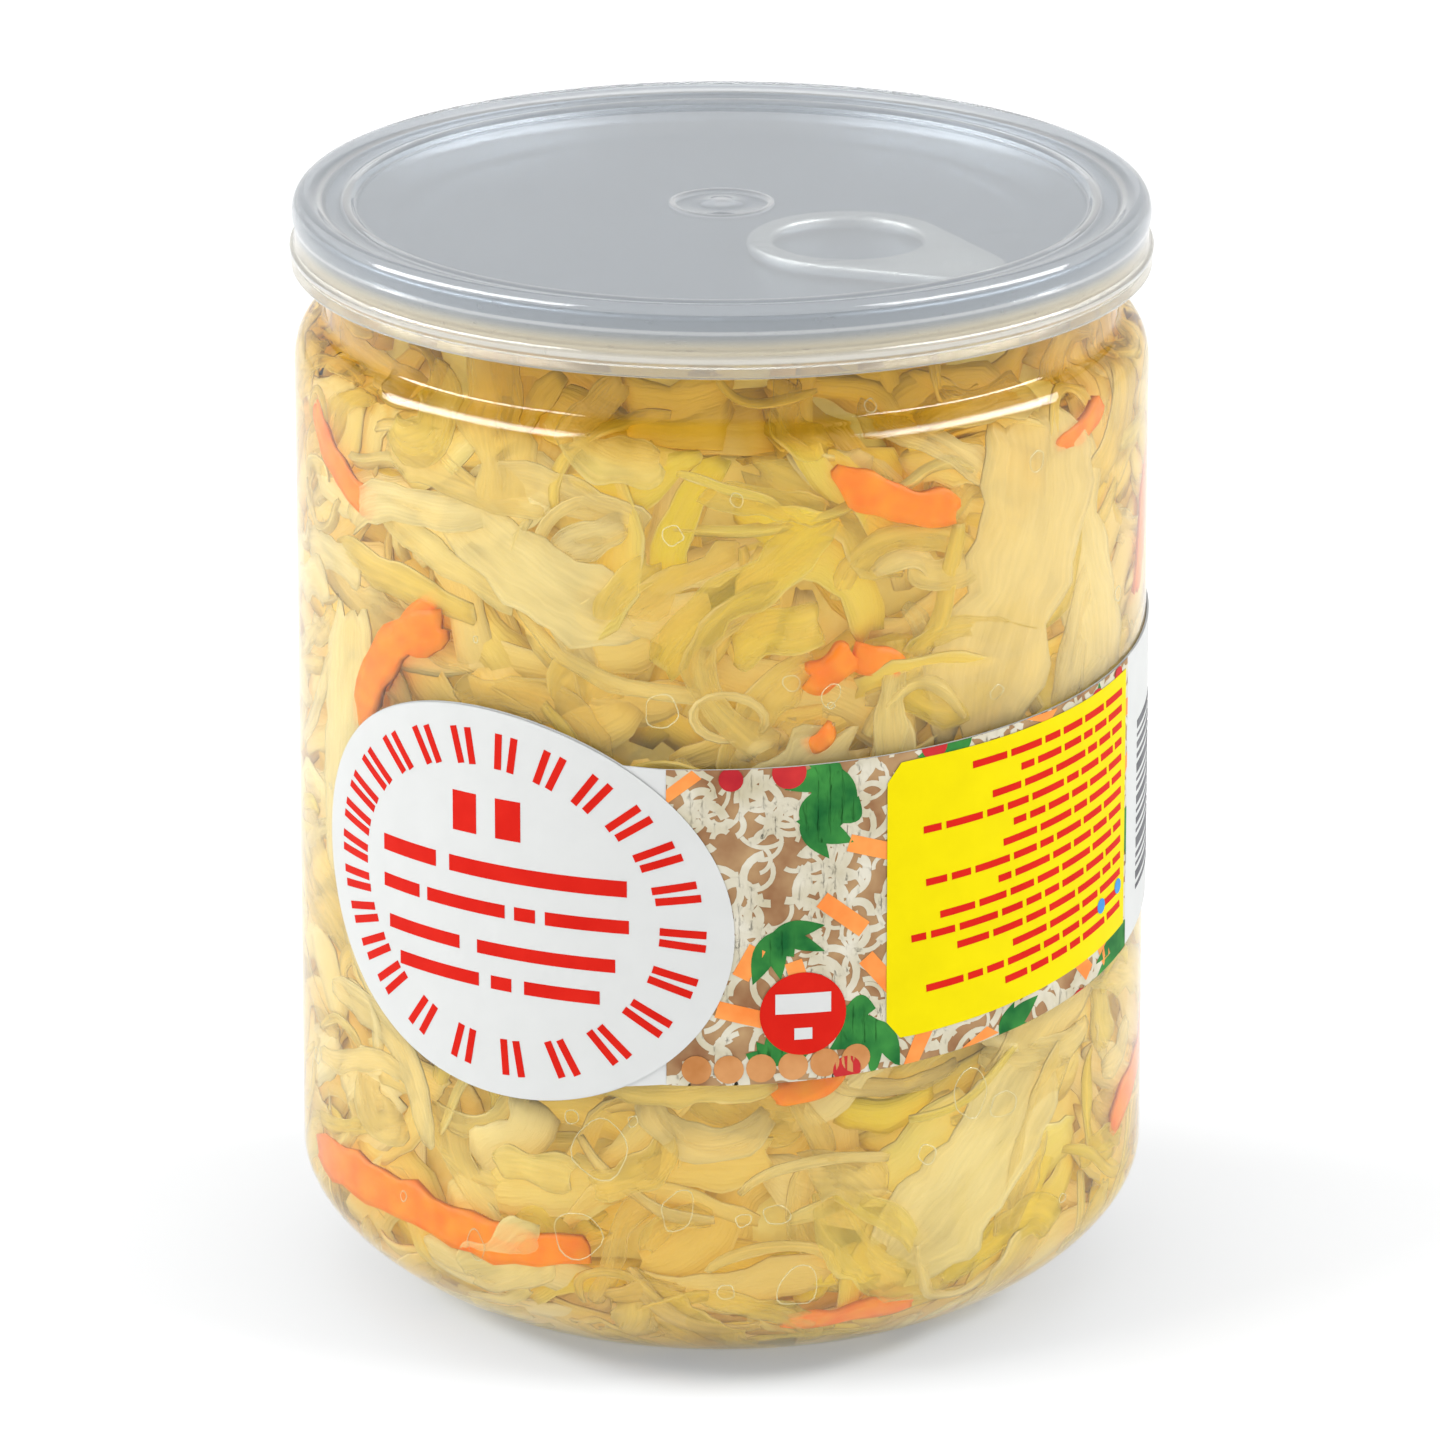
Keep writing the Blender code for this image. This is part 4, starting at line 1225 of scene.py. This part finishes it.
# %% Scatter the picture's shapes
PICTURE_LEFT, PICTURE_RIGHT = -5.5, 53.0
PICTURE_COLUMNS, PICTURE_ROWS = 12, 7
COLUMN_STEP, ROW_STEP = 5.0, 5.4
CURLS_EACH = 9
BORDER_DOTS, BORDER_STEP = 6, 3.2


def sprig(along, height, draw):
    """Five pointed leaves, fanned out from one stalk."""
    heading = draw.uniform(0.0, math.tau)
    return [petal(along, height, draw.uniform(3.0, 6.5), draw.uniform(1.5, 2.8), heading + fan)
            for fan in (-1.0, -0.5, 0.0, 0.5, 1.0)]


def curl(along, height, draw):
    """A bent strip: an arc with a width."""
    radius, width = draw.uniform(1.2, 3.2), draw.uniform(0.4, 1.0)
    start, sweep = draw.uniform(0.0, math.tau), draw.uniform(1.4, 3.2)
    angles = [start + sweep * step / 10 for step in range(11)]
    outer = round_place(along, height, radius, angles)
    return outer + round_place(along, height, radius - width, reversed(angles))


def draw_picture():
    draw = random.Random(SEED + 3)
    inked("print_ground", [strip_part(PICTURE_LEFT, PICTURE_RIGHT)], 0, ink["ground"])
    sprigs, curls, sticks, berries = [], [], [], []
    for column in range(PICTURE_COLUMNS):
        for row in range(PICTURE_ROWS):
            along = PICTURE_LEFT + 2.0 + COLUMN_STEP * column + draw.uniform(-1.5, 1.5)
            height = 35.0 + ROW_STEP * row + 0.03 * along + draw.uniform(-1.5, 1.5)
            kind = draw.random()
            if kind < 0.28:
                sprigs += sprig(along, height, draw)
            elif kind < 0.5:
                sticks.append(bar(along, height, draw.uniform(3.5, 6.0), 1.8, draw.uniform(0, math.pi)))
            elif kind < 0.66:
                berries.append(disc(along, height, draw.uniform(0.9, 1.9)))
            for _ in range(CURLS_EACH):
                curls.append(curl(along + draw.uniform(-3, 3), height + draw.uniform(-3, 3), draw))
    places = [-2.5 + BORDER_STEP * step for step in range(BORDER_DOTS)]
    border = [disc(along, strip_edges(along)[0] + 1.7, 1.5) for along in places]
    layers = (("print_curls", curls, 1, "cream"), ("print_sprigs", sprigs, 2, "green"),
              ("print_sticks", sticks, 2, "orange"), ("print_berries", berries, 3, "berry"),
              ("print_border", border, 3, "brown"))
    for name, shapes, layer, colour in layers:
        kept = [kept_on_strip(shape, PICTURE_LEFT, PICTURE_RIGHT) for shape in shapes]
        inked(name, kept, layer, ink[colour])


draw_picture()

# %% [markdown]
# ## The oval, the yellow panel and the red disc
#
# On the real label these carry words. Here each word is a bar or a pair of bars of the same height,
# length and colour, so the label keeps its rhythm and says nothing.

# %% The oval with its ring of marks
RING_INNER, RING_OUTER = 0.70, 0.885
MARK_OFFSET, MARK_WIDTH = 0.04, 0.8     # each letter-sized mark is two strokes
RING_WORDS = [(234, 163, 7), (150, 22, 10), (5, -110, 8)]       # first angle, last angle, marks
# Lines in the oval: first and last place along the can, height, thickness, bars in the line
OVAL_LINES = [(-28.6, -20.6, 60.3, 4.2, (0.36, 0.36)), (-38.4, -9.4, 54.6, 1.7, (0.26, 0.68)),
              (-38.4, -9.2, 50.6, 1.4, (0.18, 0.33, 0.08, 0.3)), (-37.6, -10.6, 46.4, 1.4, (0.36, 0.56)),
              (-36.0, -12.2, 42.9, 1.4, (0.44, 0.1, 0.34))]


def make_ring_marks():
    marks = []
    for first, last, count in RING_WORDS:
        for step in range(count):
            middle = math.radians(first + (last - first) * step / (count - 1))
            for side in (-MARK_OFFSET, MARK_OFFSET):
                inner = Vector(oval_point(middle + side, RING_INNER))
                outer = Vector(oval_point(middle + side, RING_OUTER))
                centre, reach = (inner + outer) / 2, outer - inner
                slope = math.atan2(reach.y, reach.x)
                marks.append(bar(centre.x, centre.y, reach.length, MARK_WIDTH, slope))
    return marks


def make_line_marks(first, last, height, width, shares):
    """Bars whose lengths are shares of a line, with the rest of it as gaps between them."""
    length = last - first
    gap = length * (1.0 - sum(shares)) / max(len(shares) - 1, 1)
    marks, along = [], first
    for share in shares:
        marks.append(bar(along + 0.5 * share * length, height, share * length, width))
        along += share * length + gap
    return marks


inked("print_oval", [[oval_point(math.tau * step / 160, 0.995) for step in range(160)]], 4, FILM)
oval_marks = make_ring_marks()
for oval_line in OVAL_LINES:
    oval_marks += make_line_marks(*oval_line)
inked("print_oval_marks", oval_marks, 5, ink["red"])

# %% The yellow panel and its lines
PANEL_LEFT, PANEL_RIGHT = 16.7, 52.2
PANEL_GAPS = (2.9, 0.9)                 # free height below and above it
PANEL_ROUND = 2.0
TEXT_LINES = 14
TEXT_WIDTH, WORD_GAP = 0.75, 0.55


def panel_outline():
    """A stretch of the strip with its two left corners rounded."""
    points = []
    for along, height in strip_part(PANEL_LEFT, PANEL_RIGHT, *PANEL_GAPS):
        nearness = max(0.0, 1.0 - (along - PANEL_LEFT) / PANEL_ROUND)
        lower, upper = strip_edges(along)
        pull = PANEL_ROUND * (1.0 - math.sqrt(max(0.0, 1.0 - nearness ** 2)))
        points.append((along, height + pull if height < 0.5 * (lower + upper) else height - pull))
    return points


def panel_lines():
    """Right-aligned lines of plain bars, each as long as a line of small print."""
    draw = random.Random(SEED + 4)
    marks = []
    for row in range(TEXT_LINES):
        share = (row + 0.7) / (TEXT_LINES + 0.6)
        along = PANEL_RIGHT - 1.2
        indent = draw.uniform(3, 12) if row % 3 else draw.uniform(0, 3)
        left = PANEL_LEFT + 2.0 + indent + (6 if row < 2 else 0)
        while along - 1.5 > left:
            length = min(draw.uniform(1.6, 5.0), along - left)
            middle = along - 0.5 * length
            lower, upper = strip_edges(middle)
            height = upper - 1.6 - share * (upper - lower - 5.6)
            bend = STRIP_BEND_HIGH * (1 - share) + STRIP_BEND_LOW * share
            slope = math.atan(STRIP_RISE + 2 * middle * bend)
            marks.append(bar(middle, height, length, TEXT_WIDTH, slope))
            along -= length + WORD_GAP
    return marks


inked("print_yellow_panel", [panel_outline()], 4, ink["yellow"])
inked("print_panel_lines", panel_lines(), 5, ink["red"])
inked("print_blue_dots", [disc(46.4, 45.3, 0.8), disc(50.4, 46.2, 0.8)], 6, ink["blue"])
inked("print_disc", [disc(8.1, 41.6, 4.35, 64)], 4, ink["red"])
inked("print_disc_marks", [bar(8.1, 42.7, 5.6, 2.1), bar(8.1, 39.5, 1.8, 1.2)], 5, FILM)

# %% The row of grey bars on the white end of the strip
BAR_ROW_ALONG, BAR_ROW_LOW, BAR_LENGTH, BAR_SLOPE = 61.5, 44.0, 9.0, 0.08
BAR_WIDTHS = (0.5, 0.9, 0.35, 0.5, 1.1, 0.35, 0.7, 0.35, 0.9, 0.5, 0.35, 1.0, 0.5, 0.7, 0.35, 0.9)


def make_bar_row():
    marks, height = [], BAR_ROW_LOW
    for width in BAR_WIDTHS:
        marks.append(bar(BAR_ROW_ALONG, height + 0.5 * width, BAR_LENGTH, width, BAR_SLOPE))
        height += width + WORD_GAP
    return marks


inked("print_bar_row", make_bar_row(), 0, ink["grey"])

# %% [markdown]
# ## The studio
#
# The jar stands on a pale floor between two softboxes, in a bright surround. Two more lamps show only as
# gleams on plastic and metal: a real studio would narrow its softboxes with flags for that. The camera
# looks from the photograph's angle: about 18 degrees above the horizon, far away, with a long lens.

# %% Floor
FLOOR_REACH = 3.0
FLOOR_WHITE, FLOOR_LIGHT = (0.96, 0.96, 0.96), (0.98, 0.98, 0.98)


def make_floor():
    """A wide sheet that glows a little, so that it stays white in the corners."""
    floor_mesh = bmesh.new()
    bmesh.ops.create_grid(floor_mesh, x_segments=2, y_segments=2, size=FLOOR_REACH)
    finish, shader = start_finish("pale_floor", FLOOR_WHITE, 0.8, Emission_Strength=0.24,
                                  Emission_Color=(0.97, 0.99, 1.0, 1.0))
    drift = add_uneven(finish, object_place(finish), 3.0, 0.0, 1.0)
    link(finish, add_blend(finish, drift, FLOOR_WHITE, FLOOR_LIGHT), shader.inputs["Base Color"])
    return to_object("floor", floor_mesh, finish)


make_floor()


# %% Lights
def add_softbox(name, place, aim, long_side, size, power):
    """A rectangular lamp that shines at a point, with its long side turned along a direction."""
    light = bpy.data.lights.new(name, "AREA")
    light.shape = "RECTANGLE"
    light.size, light.size_y = size
    light.energy = power
    lamp = bpy.data.objects.new(name, light)
    back = (Vector(place) - Vector(aim)).normalized()       # a lamp shines along its own -Z
    side = Vector(long_side)
    side = (side - back * side.dot(back)).normalized()
    facing = Matrix((side, back.cross(side), back)).transposed().to_4x4()
    lamp.matrix_world = Matrix.Translation(place) @ facing
    bpy.context.scene.collection.objects.link(lamp)
    return lamp


JAR_MIDDLE = (0.0, 0.0, 0.06)
# Side, height, size and power; the food and the floor get no light from the gleams
LAMPS = {"left_softbox": (-1, 0.82, (1.15, 0.25), 7.0), "right_softbox": (1, 0.82, (0.9, 0.22), 5.3),
         "left_gleam": (-1, 0.84, (1.1, 0.4), 13.0), "right_gleam": (1, 0.84, (1.1, 0.4), 13.0)}
for name, (side, height, size, power) in LAMPS.items():
    place, long_side = (0.86 * side, -0.08, height), (0.37 * side, 0.84, -0.34)
    lamp = add_softbox(name, place, JAR_MIDDLE, long_side, size, power)
    lamp.visible_diffuse = "gleam" not in name

# %% A surround that is brightest near the horizon
HORIZON_GLOW, ZENITH_GLOW = 1.1, 0.5
surround = bpy.data.worlds.new("bright_surround")
surround.use_nodes = True
heading = add(surround, "ShaderNodeTexCoord").outputs["Generated"]
rise = add(surround, "ShaderNodeSeparateXYZ", heading).outputs["Z"]
background = surround.node_tree.nodes["Background"]
link(surround, ranged(surround, rise, 0.0, 0.6, HORIZON_GLOW, ZENITH_GLOW), background.inputs["Strength"])
background.inputs["Color"].default_value = (1.0, 1.0, 1.0, 1.0)
bpy.context.scene.world = surround
bpy.context.scene.view_settings.view_transform = "Standard"

# %% Camera
CAMERA_ELEVATION = math.radians(18.291)
CAMERA_DISTANCE = 1112.89
CAMERA_AIM = 58.143
CAMERA_ASIDE = -0.175
CAMERA_LENS = 270.33

camera_data = bpy.data.cameras.new("camera")
camera_data.sensor_width = 36.0
camera_data.lens = CAMERA_LENS
camera = bpy.data.objects.new("camera", camera_data)
camera.location = (CAMERA_ASIDE * MM, -CAMERA_DISTANCE * MM * math.cos(CAMERA_ELEVATION),
                   (CAMERA_AIM + CAMERA_DISTANCE * math.sin(CAMERA_ELEVATION)) * MM)
camera.rotation_euler = (math.pi / 2 - CAMERA_ELEVATION, 0.0, 0.0)
bpy.context.scene.collection.objects.link(camera)
bpy.context.scene.camera = camera

# %% [markdown]
# ## A short render
#
# Most of the time goes into paths that turn over and over inside the half clear food. A few bounces
# look the same here. The surround is so even that rays find it by chance, and four lamps need no tree.

# %% Fewer bounces and simpler sampling of the lamps
paths = bpy.context.scene.cycles
paths.max_bounces = 7
paths.diffuse_bounces = 1
paths.glossy_bounces = 2
paths.use_light_tree = False
surround.cycles.sampling_method = "NONE"
